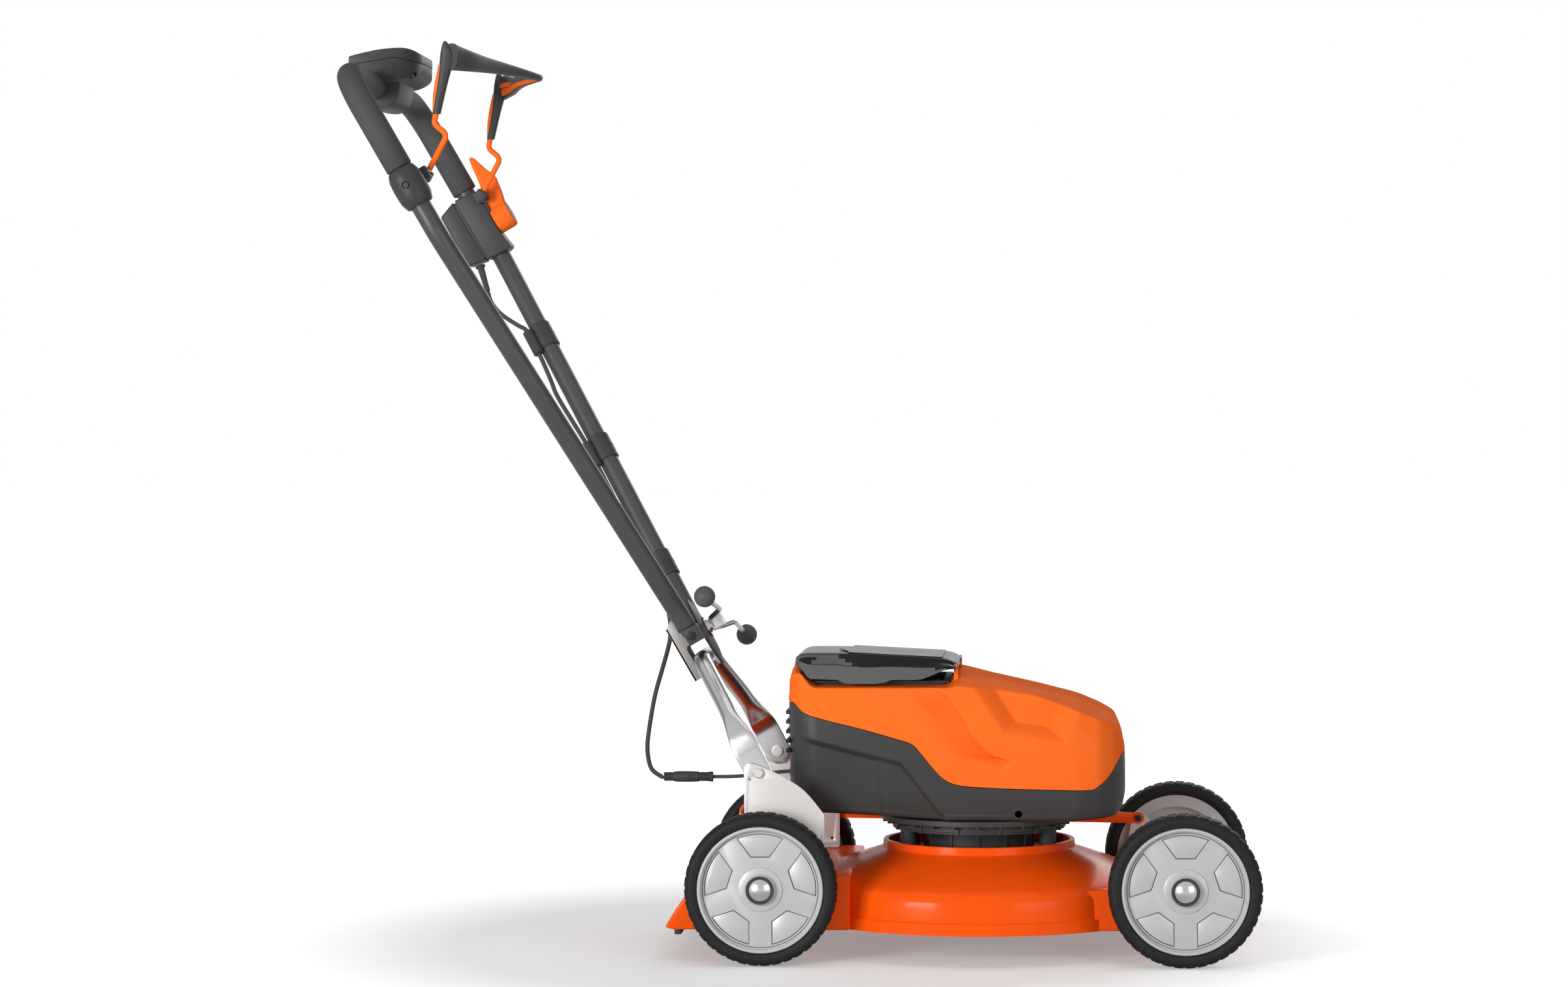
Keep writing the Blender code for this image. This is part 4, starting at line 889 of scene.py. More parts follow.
@dataclass
class Cords:
    """The cable on the left leg, the hanging cord, the plug connector and the tail."""

    cord_radius: float = 0.00325
    tail_radius: float = 0.00265
    spacing: float = 0.018
    behind: float = -0.0165
    inward: float = -0.0155

    def hanging(self) -> None:
        """Hang the cord from the lowest clip to the connector."""
        start = on_handle(self.behind, leg_y(-0.5564) + self.inward, -0.5564)
        follow = on_handle(-0.0175, leg_y(-0.575) - 0.0160, -0.575)
        points = [start, follow, (-0.1530, 0.0400, 0.4680), (-0.1500, 0.0360, 0.4430),
                  (-0.1530, 0.0280, 0.4200), (-0.1600, 0.0120, 0.3900), (-0.1690, 0.0, 0.3550),
                  (-0.1770, 0.0, 0.3120),
                  (-0.1808, 0.0, 0.2790), (-0.1775, 0.0, 0.2540), (-0.1700, 0.0, 0.2410),
                  (-0.1640, 0.0, 0.2374), (-0.1610, 0.0, 0.2370)]
        route = even_route(points, self.spacing) + [Vector((-0.1577, 0.0, 0.2370))]
        self.run("cord_down", route, self.cord_radius, "cord_hanging", ("upper_handle", "lower_handle"),
                 "connector", [self.connector()])

    def tail(self) -> None:
        """Run the tail from the connector into the housing's gland."""
        points = [(-0.0857, 0.0, 0.2370), (-0.0600, 0.0, 0.2372), (-0.0200, 0.0, 0.2400),
                  (0.0050, 0.0, 0.2435), (0.0237, 0.0, 0.2450)]
        route = even_route(points, 0.011)
        self.run("cord_in", route, self.tail_radius, "cord_tail", ("lower_handle", "deck"), "object", [])

    def run(self, name: str, route: list[Vector], radius: float, node: str, bodies: tuple[str, str],
            far_end: str, ends: list[bpy.types.Object]) -> None:
        """Make one cord, a fixed tube along its route between two bodies.

        Args:
            name: The piece's name.
            route: Its centre line in the machine's frame.
            radius: Its radius.
            node: The solid that it stands for.
            bodies: The bodies at its start and its end; not used.
            far_end: What is on its far end; not used.
            ends: The pieces on it; not used.
        """
        smooth = curve_through(route, 3)
        obj = dressed(name, pipe(smooth, radius, 16), SOFT_RUBBER, 40.0)
        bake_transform(obj)
        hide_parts(node)
        LOG.info("%s: cord of %.3f m", name, path_length(smooth))

    def connector(self) -> bpy.types.Object:
        """Make the plug connector with its ribbed grips."""
        profile = [(0.0, 0.0), (0.0052, 0.0)]
        for i in range(4):
            z = 0.0010 + 0.0030 * i
            profile += [(0.0066, z), (0.0066, z + 0.0018), (0.0058, z + 0.0020), (0.0058, z + 0.0028)]
        profile += [(0.0070, 0.0135), (0.0078, 0.0200), (0.0079, 0.0352), (0.0076, 0.0354),
                    (0.0076, 0.0358), (0.0079, 0.0360), (0.0074, 0.0500)]
        for i in range(4):
            z = 0.0520 + 0.0030 * i
            profile += [(0.0060, z), (0.0060, z + 0.0008), (0.0070, z + 0.0010), (0.0070, z + 0.0026)]
        profile += [(0.0062, 0.0650), (0.0074, 0.0654), (0.0074, 0.0706), (0.0, 0.0710)]
        bm = lathe(profile, 32, frame=aimed((-0.1570, 0.0, 0.2370), (1.0, 0.0, 0.0)))
        return piece("plug_connector", bm, DARK_MOULD,
                     Ride("lower_handle", "black_plastic", ("cord_connector",)))

    def leg_cable(self) -> None:
        """Run the cable from the strain relief through the three clips."""
        route = [(-0.0425, 0.2607, -0.0430), (-0.0455, 0.2565, -0.0600), (-0.0431, 0.2500, -0.0770),
                 (-0.0373, 0.2430, -0.0921), (-0.0258, 0.2320, -0.1130)]
        for s in (-0.130, -0.168):
            route.append((self.behind, leg_y(s) + self.inward, s))
        for x, s in ((-0.0195, -0.2131), (-0.0217, -0.2316), (-0.0210, -0.2560), (-0.0178, -0.3000)):
            route.append((x, leg_y(s) + self.inward, s))
        for s in (-0.322, -0.360, -0.430, -0.516, -0.5560):
            route.append((self.behind, leg_y(s) + self.inward, s))
        smooth = even_route(route, 0.006)
        bm = pipe(smooth, self.cord_radius, 16, HANDLE)
        piece("leg_cable", bm, SOFT_RUBBER, Ride("upper_handle", "soft_rubber", ("cable_upper",)))

    def clips(self) -> None:
        """Make the three clips that hold the cable behind the leg."""
        for name, middle in (("clip_upper", -0.149), ("clip_middle", -0.341), ("clip_lower", -0.5355)):
            low, high = middle - 0.019, middle + 0.019
            foot = Vector((0.0, leg_y(low), low))
            head = Vector((0.0, leg_y(high), high))
            span = (head - foot).length
            ring = [(0.0142, 0.0), (0.0160, 0.0), (0.0167, 0.0010), (0.0167, span - 0.0010),
                    (0.0160, span), (0.0142, span)]
            body = lathe(ring, 40, True, aimed(foot, head - foot))
            shift = Vector((self.behind, self.inward, 0.0))
            eye = [(0.0036, 0.0), (0.0072, 0.0), (0.0079, 0.0008), (0.0079, span - 0.0008),
                   (0.0072, span), (0.0036, span)]
            loop = lathe(eye, 28, True, aimed(foot + shift, head - foot))
            side = aimed(foot + shift * 0.5 + (head - foot) * 0.5, head - foot)
            rib = block((-0.0020, -0.0020, -0.0165), (0.0060, 0.0060, 0.0165), 0.0008, side)
            seam = [(0.0170, span * 0.46), (0.0170, span * 0.54),
                    (0.0160, span * 0.54), (0.0160, span * 0.46)]
            band = lathe(seam, 40, True, aimed(foot, head - foot))
            bm = moved(gathered([body, loop, rib, band]), HANDLE)
            piece(f"{name}_shell", bm, DARK_MOULD, Ride("upper_handle", "black_plastic", (name,)))

    def strain_relief(self) -> None:
        """Make the ribbed cone under the switch box."""
        start = Vector((-0.0345, 0.2712, -0.0040))
        end = Vector((-0.0424, 0.2610, -0.0425))
        length = (end - start).length
        profile = [(0.0, 0.0), (0.0075, 0.0), (0.0075, 0.0020), (0.0052, 0.0024)]
        for i in range(6):
            z = 0.0060 + 0.0052 * i
            radius = 0.0052 - 0.0002 * i
            profile += [(radius, z), (radius - 0.0005, z + 0.0004), (radius - 0.0005, z + 0.0012),
                        (radius, z + 0.0016)]
        profile += [(0.0041, length), (0.0, length)]
        bm = moved(lathe(profile, 28, frame=aimed(start, end - start)), HANDLE)
        piece("relief_cone", bm, SOFT_RUBBER, Ride("upper_handle", "soft_rubber", ("strain_relief",)))

    def build(self) -> None:
        """Make the cords and what holds them."""
        self.hanging()
        self.tail()
        self.leg_cable()
        self.clips()
        self.strain_relief()


@dataclass
class Wheel:
    """One wheel: lugged tyre, five-spoked rim and domed hub cap."""

    end: str
    x: float
    side: str
    outward: float
    lugs: int = 40
    spokes: int = 5

    @property
    def body(self) -> str:
        """Name of the body that the wheel is."""
        return f"wheel_{self.end}_{self.side}"

    def frame(self) -> Matrix:
        """Frame of the wheel, outer side along Z, with one spoke pointing down."""
        place = Matrix.Translation((0.0, self.outward * TRACK / 2.0, 0.0))
        return (place @ across(self.x, WHEEL_RADIUS, self.outward)
                @ Matrix.Rotation(self.outward * math.pi / 2.0 + math.pi / 5.0, 4, "Z"))

    def tyre(self) -> None:
        """Make the tyre with curved lugs over both shoulders."""
        half = [(0.0868, 0.0195), (0.0885, 0.0222), (0.0920, 0.0234), (0.0960, 0.0236),
                (0.0994, 0.0226), (0.1018, 0.0200), (0.1031, 0.0160), (0.1036, 0.0080)]
        profile = half + [(0.1037, 0.0)] + [(r, -z) for r, z in reversed(half)]
        carcass = lathe(profile, 120, True)
        shoulder = [(0.0992, 0.0229), (0.1018, 0.0212), (0.1040, 0.0178), (0.1048, 0.0120), (0.1050, 0.0022)]
        width = 2.0 * math.pi / self.lugs * 0.70
        skew = [0.045, 0.030, 0.012, 0.0, 0.0]
        rings = []
        for share in (0.0, 0.12, 0.88, 1.0):
            drop = 0.0006 if share in (0.0, 1.0) else 0.0
            outer = [(r - drop, z, width * share + lead) for (r, z), lead in zip(shoulder, skew)]
            inner = [(r - 0.0030, z - 0.0020, angle) for r, z, angle in reversed(outer)]
            rings.append([(r * math.cos(a), r * math.sin(a), z) for r, z, a in outer + inner])
        lug = lofted(rings)
        pitch = 2.0 * math.pi / self.lugs
        flip = Matrix.Rotation(pitch / 2.0, 4, "Z") @ Matrix.Rotation(math.pi, 4, "X")
        turns = [Matrix.Rotation(pitch * i, 4, "Z") for i in range(self.lugs)]
        tread = repeated(lug, turns + [turn @ flip for turn in turns])
        bm = moved(gathered([carcass, tread]), self.frame())
        name = f"{self.end}_{self.side}"
        piece(f"tread_{name}", bm, TREAD_RUBBER, Ride(self.body, "tyre_rubber", (f"tyre_{name}",)))

    def panel(self, grow: float) -> list[Pair]:
        """Outline of one recess between two spokes, grown outward.

        Args:
            grow: How far the outline grows.

        Returns:
            Points of the outline, with the outer side as an arc.
        """
        limit = 24.6 + math.degrees(grow / 0.077) * 0.95
        arc = [math.radians(limit * (1.0 - 0.2 * i)) for i in range(11)]
        reach = 0.0770 + grow
        outer = [(reach * math.cos(a), reach * math.sin(a)) for a in arc]
        edge = 0.0131 + 0.45 * grow
        return [(0.0440 - grow, -edge), (0.0440 - grow, edge), *outer]

    def rim(self) -> None:
        """Make the rim: a base disc, the raised star and the outer ring."""
        base = [(0.0, 0.0108), (0.0795, 0.0108), (0.0800, 0.0150), (0.0818, 0.0168), (0.0822, 0.0205),
                (0.0835, 0.0215), (0.0858, 0.0213), (0.0866, 0.0200), (0.0866, -0.0200),
                (0.0700, -0.0210), (0.0680, -0.0060), (0.0240, -0.0060), (0.0225, -0.0235),
                (0.0, -0.0235)]
        star = slab(circle((0.0, 0.0), 0.0790, 120), -0.0132, -0.0108,
                    [[(x * math.cos(t) - y * math.sin(t), x * math.sin(t) + y * math.cos(t))
                      for x, y in self.panel(0.0)]
                     for t in (2.0 * math.pi * i / self.spokes for i in range(self.spokes))])
        star = moved(rounded(star, 0.0004, 2), Matrix.Rotation(-math.pi / 2.0, 4, "X"))
        plate = rounded(slab(self.panel(-0.0012), -0.0124, -0.0100), 0.0005, 2)
        plates = repeated(moved(plate, Matrix.Rotation(-math.pi / 2.0, 4, "X")),
                          even_turns(self.spokes))
        hub = lathe([(0.0, 0.0125), (0.0305, 0.0130), (0.0300, 0.0150), (0.0285, 0.0156), (0.0215, 0.0162),
                     (0.0212, 0.0205), (0.0200, 0.0218), (0.0, 0.0218)], 80)
        studs = repeated(lathe([(0.0, 0.0), (0.0008, 0.0), (0.0007, 0.0006), (0.0, 0.0007)], 12),
                         [turn @ Matrix.Translation((0.0252, 0.0, 0.0156)) for turn in even_turns(7)])
        pins = repeated(lathe([(0.0, 0.0), (0.0012, 0.0), (0.0011, 0.0010), (0.0, 0.0012)], 12),
                        [Matrix.Rotation(2.0 * math.pi * (i + 0.18) / 5.0, 4, "Z")
                         @ Matrix.Translation((0.0730, 0.0, 0.0108)) for i in range(5)])
        bm = moved(gathered([lathe(base, 120), star, plates, hub, studs, pins]), self.frame())
        name = f"{self.end}_{self.side}"
        piece(f"spokes_{name}", bm, RIM_SILVER, Ride(self.body, "rim_plastic", (f"rim_{name}",)), 28.0)
        # Painted shade: a thin dark disc just under the panels, seen as dark grooves round them.
        sunk = lathe([(0.0, 0.0106), (0.0790, 0.0106), (0.0790, 0.0112), (0.0, 0.0112)], 96)
        piece(f"groove_shade_disc_{name}", moved(sunk, self.frame()), PAINTED_GROOVE_SHADE, Ride(self.body, "rim_plastic"))

    def cap(self) -> None:
        """Make the domed cap and the dark ring round it."""
        ring = [(0.0150, 0.0216), (0.0192, 0.0216), (0.0194, 0.0232), (0.0188, 0.0242), (0.0165, 0.0240),
                (0.0160, 0.0225)]
        bm = moved(lathe(ring, 64, True), self.frame())
        piece(f"cap_ring_{self.end}_{self.side}", bm, DARK_MOULD, Ride(self.body, "black_plastic"))
        dome = [(0.0, 0.0279), (0.0040, 0.0276), (0.0080, 0.0267), (0.0115, 0.0253), (0.0145, 0.0235),
                (0.0162, 0.0222), (0.0162, 0.0212), (0.0, 0.0212)]
        bm = moved(lathe(dome, 64), self.frame())
        piece(f"hub_cap_{self.end}_{self.side}", bm, CHROME, Ride(self.body, "chrome"))

    def build(self) -> None:
        """Make the whole wheel."""
        self.tyre()
        self.rim()
        self.cap()


@dataclass
class Deck:
    """The cast deck: a round blade bell between a rear and a front block."""

    bottom: float = 0.0433

    def bell(self, bottom: float) -> BMesh:
        """The solid of the blade bell, closed at a bottom height."""
        slope = [(0.1375, 0.1398), (0.1600, 0.1325), (0.1900, 0.1222), (0.2150, 0.1125)]
        slope += curve_pairs([(0.2330, 0.1044), (0.2405, 0.0998), (0.2455, 0.0945),
                              (0.2485, 0.0885), (0.2497, 0.0820)], 4)
        profile = [(0.0, 0.1360), (0.1275, 0.1360), (0.1288, 0.1502), (0.1295, 0.1510), (0.1350, 0.1510),
                   (0.1358, 0.1502), (0.1364, 0.1410), *slope, (0.2500, 0.0612), (0.2506, 0.0602),
                   (0.2532, 0.0596), (0.2540, 0.0585), (0.2540, bottom), (0.0, bottom)]
        return lathe(profile, 160, frame=Matrix.Translation((*DECK_CENTRE, 0.0)))

    def build(self) -> None:
        """Make the deck, hollow from below."""
        rear = [(-0.137, 0.046), (-0.1215, 0.0715), (-0.1020, 0.0985), (-0.0970, 0.1020), (-0.035, 0.118),
                (0.120, 0.118), (0.120, self.bottom), (-0.125, self.bottom)]
        front = [(0.440, self.bottom), (0.440, 0.098), (0.460, 0.100), (0.572, 0.0985), (0.580, 0.0960),
                 (0.600, 0.080), (0.603, 0.0760), (0.603, self.bottom)]
        whole = carved(self.bell(self.bottom), rounded(slab(rear, -0.196, 0.196), 0.004, 3), Carve.JOIN)
        whole = carved(whole, rounded(slab(front, -0.190, 0.190), 0.004, 3), Carve.JOIN)
        for y in (-0.125, 0.125):
            for low, high in (((-0.075, 0.095), (-0.045, 0.139)), ((0.504, 0.080), (0.534, 0.1305))):
                saddle = block((low[0], y - 0.010, low[1]), (high[0], y + 0.010, high[1]), 0.003)
                whole = carved(whole, saddle, Carve.JOIN)
        rear_pocket = slab([(-0.112, 0.030), (-0.112, 0.072), (-0.0955, 0.0945), (-0.034, 0.1135),
                            (0.115, 0.1135), (0.115, 0.030)], -0.191, 0.191)
        front_pocket = slab([(0.445, 0.030), (0.445, 0.094), (0.570, 0.0935), (0.594, 0.077),
                             (0.598, 0.030)], -0.185, 0.185)
        for pocket in (rear_pocket, front_pocket):
            whole = carved(whole, carved(pocket, self.bell(0.020)))
        inner = curve_through([(0.130, 0.132), (0.190, 0.117), (0.223, 0.101), (0.240, 0.088),
                               (0.246, 0.078)], 4)
        chamber = lathe([(0.0, 0.132), *inner, (0.246, 0.030), (0.0, 0.030)], 120,
                        frame=Matrix.Translation((*DECK_CENTRE, 0.0)))
        whole = carved(whole, chamber)
        shaft = pipe([Vector((*DECK_CENTRE, 0.120)), Vector((*DECK_CENTRE, 0.145))], 0.0125)
        whole = carved(whole, shaft)
        for pivot in (REAR_PIVOT, FRONT_PIVOT):
            whole = carved(whole, cross_bar(pivot, -0.150, 0.150, 0.0090))
        piece("deck_casting", whole, ORANGE_COAT, Ride("deck", "orange_casting", ("deck_shell",)), 26.0)
        apron = block((-0.1265, -0.165, 0.0325), (-0.1165, 0.165, 0.0430), 0.002)
        piece("rear_flap", apron, SOFT_RUBBER, Ride("deck", "soft_rubber", ("rear_apron",)))


@dataclass
class Motor:
    """The ribbed motor base between the deck and the housing."""

    straps: int = 13
    staves: int = 12

    def build(self) -> None:
        """Make the base in two tiers, its straps, staves and posts."""
        centre = Matrix.Translation((*DECK_CENTRE, 0.0))
        ring = [(0.0185, 0.1785), (0.1100, 0.1785), (0.1140, 0.1872), (0.1382, 0.1872), (0.1385, 0.1868),
                (0.1385, 0.1800), (0.1375, 0.1792), (0.1225, 0.1786), (0.1212, 0.1778), (0.1212, 0.1702),
                (0.1222, 0.1698), (0.1222, 0.1672), (0.1165, 0.1668), (0.1160, 0.1745), (0.0775, 0.1745),
                (0.0755, 0.1385), (0.0185, 0.1385)]
        shell = rounded(lathe(ring, 120, True), 0.0004, 1, 60.0)
        strap = block((0.1200, -0.0034, 0.1666), (0.1240, 0.0034, 0.1790), 0.0006)
        straps = repeated(strap, even_turns(self.straps, 0.13))
        stave = block((0.0745, -0.0034, 0.1390), (0.0785, 0.0034, 0.1740), 0.0006)
        staves = repeated(stave, even_turns(self.staves))
        gusset = block((0.1215, -0.0012, 0.1755), (0.1370, 0.0012, 0.1796), 0.0003)
        gussets = repeated(gusset, even_turns(2 * self.straps, 0.37))
        post = lathe([(0.0, 0.1363), (0.0122, 0.1363), (0.0125, 0.1370), (0.0116, 0.1690), (0.0116, 0.1760),
                      (0.0, 0.1760)], 28)
        posts = repeated(post, [Matrix.Translation((x, y, 0.0)) for x in (-0.098, 0.098)
                                for y in (-0.055, 0.055)])
        bm = moved(gathered([shell, straps, staves, gussets, posts]), centre)
        piece("motor_ring", bm, CAST_METAL, Ride("deck", "cast_aluminium", ("motor_base",)))


BULGE = curve_pairs([(0.0, 0.850), (0.06, 0.935), (0.30, 0.985), (0.55, 1.0), (0.80, 0.975),
                     (1.0, 0.880)], 6)


@dataclass
class Housing:
    """Hood and lower housing, skinned over one shared body shape and parted at the seam."""

    wall: float = 0.003
    gap: float = 0.0005
    step: float = 0.0024
    soft_edge: float = 0.0030
    foot_round: float = 0.010
    swoosh_depth: float = 0.0150
    scoop_depth: float = 0.0200

    STATIONS = ((0.030, 0.095, 0.210, 0.380, 0.3900), (0.0315, 0.104, 0.208, 0.385, 0.3950),
                (0.0345, 0.114, 0.205, 0.389, 0.3990), (0.039, 0.1240, 0.202, 0.3915, 0.4005),
                (0.046, 0.1335, 0.200, 0.3925, 0.4005), (0.050, 0.1375, 0.1995, 0.3900, 0.3985),
                (0.055, 0.1410, 0.199, 0.3840, 0.3920), (0.062, 0.1450, 0.198, 0.3760, 0.3830),
                (0.070, 0.1470, 0.1978, 0.373, 0.378), (0.090, 0.148, 0.197, 0.373, 0.378),
                (0.160, 0.148, 0.1935, 0.373, 0.378),
                (0.252, 0.148, 0.188, 0.373, 0.378), (0.258, 0.148, 0.188, 0.374, 0.385),
                (0.267, 0.148, 0.188, 0.376, 0.3950), (0.310, 0.148, 0.188, 0.372, 0.3840),
                (0.377, 0.147, 0.188, 0.362, 0.369), (0.433, 0.142, 0.188, 0.341, 0.355),
                (0.465, 0.132, 0.190, 0.329, 0.342), (0.486, 0.114, 0.193, 0.318, 0.330),
                (0.496, 0.095, 0.205, 0.296, 0.306), (0.500, 0.080, 0.225, 0.276, 0.286))
    SEAM = ((0.030, 0.3513), (0.039, 0.3510), (0.055, 0.3380), (0.087, 0.3285), (0.120, 0.3205),
            (0.152, 0.312), (0.180, 0.3040), (0.204, 0.296), (0.216, 0.284), (0.2325, 0.2635), (0.249, 0.247),
            (0.268, 0.239), (0.300, 0.2360), (0.345, 0.234), (0.400, 0.2325), (0.448, 0.2315),
            (0.460, 0.2350),
            (0.478, 0.251), (0.498, 0.284), (0.500, 0.2850))
    BAND = ((0.030, 0.3120), (0.0501, 0.3075), (0.1632, 0.2786), (0.1876, 0.2726), (0.2029, 0.2542),
            (0.2452, 0.1964), (0.260, 0.170), (0.600, 0.150))
    SWOOSH = ((0.2700, 0.3300), (0.2744, 0.3248), (0.2807, 0.3037), (0.3005, 0.2825), (0.3339, 0.2646),
              (0.3610, 0.2458), (0.3764, 0.2260))
    SCOOP_OUTER = ((0.2827, 0.3827), (0.3300, 0.3118), (0.4160, 0.2969), (0.4430, 0.3500))
    SCOOP_WIDTHS = (0.0230, 0.0170, 0.0290)

    def seam(self, x: float) -> float:
        """Height of the seam at a distance along the machine."""
        return along(self.smooth_seam, x)

    def __post_init__(self) -> None:
        """Lay out close, even stations and smooth the seam."""
        rows = self.smooth_rows(self.STATIONS, 7)
        tables = [[(row[0], row[k]) for row in rows] for k in range(1, 5)]
        start, end = rows[0][0], rows[-1][0]
        places = [start, start + 0.0010]
        while places[-1] < end - 0.0006:
            near_end = min(places[-1] - start, end - places[-1])
            places.append(places[-1] + (0.0012 if near_end < 0.016 else self.step))
        places[-1] = end
        self.stations = [(x, *[along(table, x) for table in tables]) for x in places]
        self.smooth_seam = curve_pairs(self.SEAM, 8)

    @staticmethod
    def smooth_rows(rows: Sequence[Sequence[float]], steps: int) -> list[list[float]]:
        """Densify rows of five values by straight lines, softened at the stations.

        Args:
            rows: The rows.
            steps: Steps between two rows.

        Returns:
            The denser rows.
        """
        fine = []
        for low, high in zip(rows, rows[1:]):
            for step in range(steps):
                share = step / steps
                fine.append([a + (b - a) * share for a, b in zip(low, high)])
        fine.append(list(rows[-1]))
        for _ in range(2):
            inner = [[(a + 2.0 * b + c) / 4.0 for a, b, c in zip(p, q, r)]
                     for p, q, r in zip(fine, fine[1:], fine[2:])]
            fine = [fine[0], *inner, fine[-1]]
        return fine

    @staticmethod
    def bulge(share: float) -> float:
        """Share of the half-width at a share of the side's height."""
        return along(BULGE, share)

    @staticmethod
    def beyond(line: tuple[Pair, Pair], x: float, z: float) -> float:
        """Distance of a point to the left of a directed line, in metres."""
        (x0, z0), (x1, z1) = line
        return ((x1 - x0) * (z - z0) - (z1 - z0) * (x - x0)) / math.hypot(x1 - x0, z1 - z0)

    def scoop(self, x: float, z: float) -> float:
        """Depth of the scooped recess at a point of the side, in metres."""
        walls = []
        for index, width in enumerate(self.SCOOP_WIDTHS):
            line = (self.SCOOP_OUTER[index], self.SCOOP_OUTER[index + 1])
            walls.append(self.beyond(line, x, z) / width)
        left, low, right = (max(0.0, share) for share in walls)
        return self.scoop_depth * min(1.0, left ** 1.3, low ** 1.3, right)

    def side_relief(self, x: float, z: float) -> float:
        """How far the hood's side is drawn in at a point, in metres."""
        across_line = x - along(self.SWOOSH, z)
        fade = smoothstep(0.255, 0.285, z) * (1.0 - smoothstep(0.350, 0.384, z))
        if across_line < 0.0:
            dip = smoothstep(-0.050, 0.006, across_line) ** 1.2
        else:
            dip = 1.0 - smoothstep(-0.001, 0.013, across_line)
        return self.swoosh_depth * fade * dip + self.scoop(x, z)

    def lower_relief(self, x: float, z: float) -> float:
        """How far the lower housing's side is drawn in at a point, in metres."""
        below = along(self.BAND, x) - z
        panel_edge = 0.1600 - 0.10 * (z - 0.240)
        step = 0.0065 * smoothstep(0.0, 0.0080, below) + 0.09 * min(0.070, max(0.0, below))
        return step + 0.0030 * smoothstep(0.0, 0.0040, panel_edge - x) * smoothstep(0.004, 0.010, below)

    def deepest(self, x: float, z: float) -> float:
        """The hood's greatest relief within a wall's reach of a point, in metres."""
        reach = 1.3 * self.wall
        spots = [(0.0, 0.0)] + [(reach * math.cos(a), reach * math.sin(a))
                                for a in (math.pi / 4.0 * i for i in range(8))]
        return max(self.side_relief(x + dx, z + dz) for dx, dz in spots)

    def section(self, station: Sequence[float], upper: bool, inner: bool = False) -> list[Triple]:
        """Half a section of the hood or the lower housing, from the seam to the mid-plane.

        Args:
            station: Distance, half-width, bottom, shoulder and top.
            upper: True for the hood.
            inner: True for the inner wall, which clears the relief all round.

        Returns:
            The section's points on the left side.
        """
        x, half, bottom, shoulder, top = station
        seam = self.seam(x)
        seam = min(max(seam, bottom + 0.012), shoulder - 0.004)
        span = shoulder - bottom
        relief = self.deepest if inner else self.side_relief
        row = []
        if upper:
            start = seam + self.gap
            edge = min(self.soft_edge, 0.25 * (shoulder - start), 0.6 * (top - shoulder) + 0.0008)
            for i in range(49):
                z = start + (shoulder - edge - start) * i / 48.0
                row.append((x, half * self.bulge((z - bottom) / span) - relief(x, z), z))
            corner = (half * 0.880 - relief(x, shoulder), shoulder)
            crown = (half * 0.400, top)
            lower = row[-1][1:]
            run = math.hypot(crown[0] - corner[0], crown[1] - corner[1])
            share = edge / run
            after = (corner[0] + (crown[0] - corner[0]) * share, corner[1] + (crown[1] - corner[1]) * share)
            for i in range(1, 5):
                t = i / 5.0
                pair = [(1 - t) ** 2 * lower[k] + 2 * t * (1 - t) * corner[k] + t * t * after[k]
                        for k in (0, 1)]
                row.append((x, *pair))
            for i in range(13):
                t = share + (0.94 - share) * i / 12.0
                y = corner[0] + (crown[0] - corner[0]) * t
                row.append((x, y, corner[1] + (crown[1] - corner[1]) * t))
            row += [(x, half * (0.40 + shift), top - drop)
                    for shift, drop in ((0.004, 0.0006), (-0.02, 0.0001))]
            row += [(x, half * share, top) for share in (0.30, 0.20, 0.10, 0.0)]
        else:
            start = seam - self.gap
            for i in range(61):
                z = start + (bottom + self.foot_round - start) * i / 60.0
                y = half * self.bulge((z - bottom) / span)
                row.append((x, y - self.lower_relief(x, z), z))
            edge = half * 0.935 - self.lower_relief(x, bottom)
            for i in range(1, 7):
                turn = math.pi / 2.0 * i / 6.0
                row.append((x, edge - self.foot_round * (1.0 - math.cos(turn)),
                            bottom + self.foot_round * (1.0 - math.sin(turn))))
            row += [(x, half * share, bottom) for share in (0.60, 0.30, 0.0)]
        return row

    def form(self, upper: bool, drawn_in: float) -> BMesh:
        """Loft the closed form of the hood or the lower housing.

        Args:
            upper: True for the hood.
            drawn_in: How far the form is drawn in on all sides, with the parting edge left open.

        Returns:
            The closed form.
        """
        first, last = self.stations[0][0], self.stations[-1][0]
        middle = (first + last) / 2.0
        shrink = 1.0 - 2.0 * drawn_in / (last - first)
        rings = []
        for station in self.stations:
            left = []
            for x, y, z in self.section(station, upper, drawn_in > 0.0):
                if drawn_in:
                    y = max(0.0, y - drawn_in)
                    z = z - drawn_in if upper else z + drawn_in
                left.append((middle + (x - middle) * shrink, y, z))
            if drawn_in:
                x, y, z = left[0]
                left.insert(0, (x, y, z - 0.012 if upper else z + 0.012))
            rings.append(left + [(x, -y, z) for x, y, z in reversed(left[:-1])])
        return lofted(rings)

    def skin(self, upper: bool) -> BMesh:
        """The walled shell of the hood or the lower housing."""
        return carved(self.form(upper, 0.0), self.form(upper, self.wall))

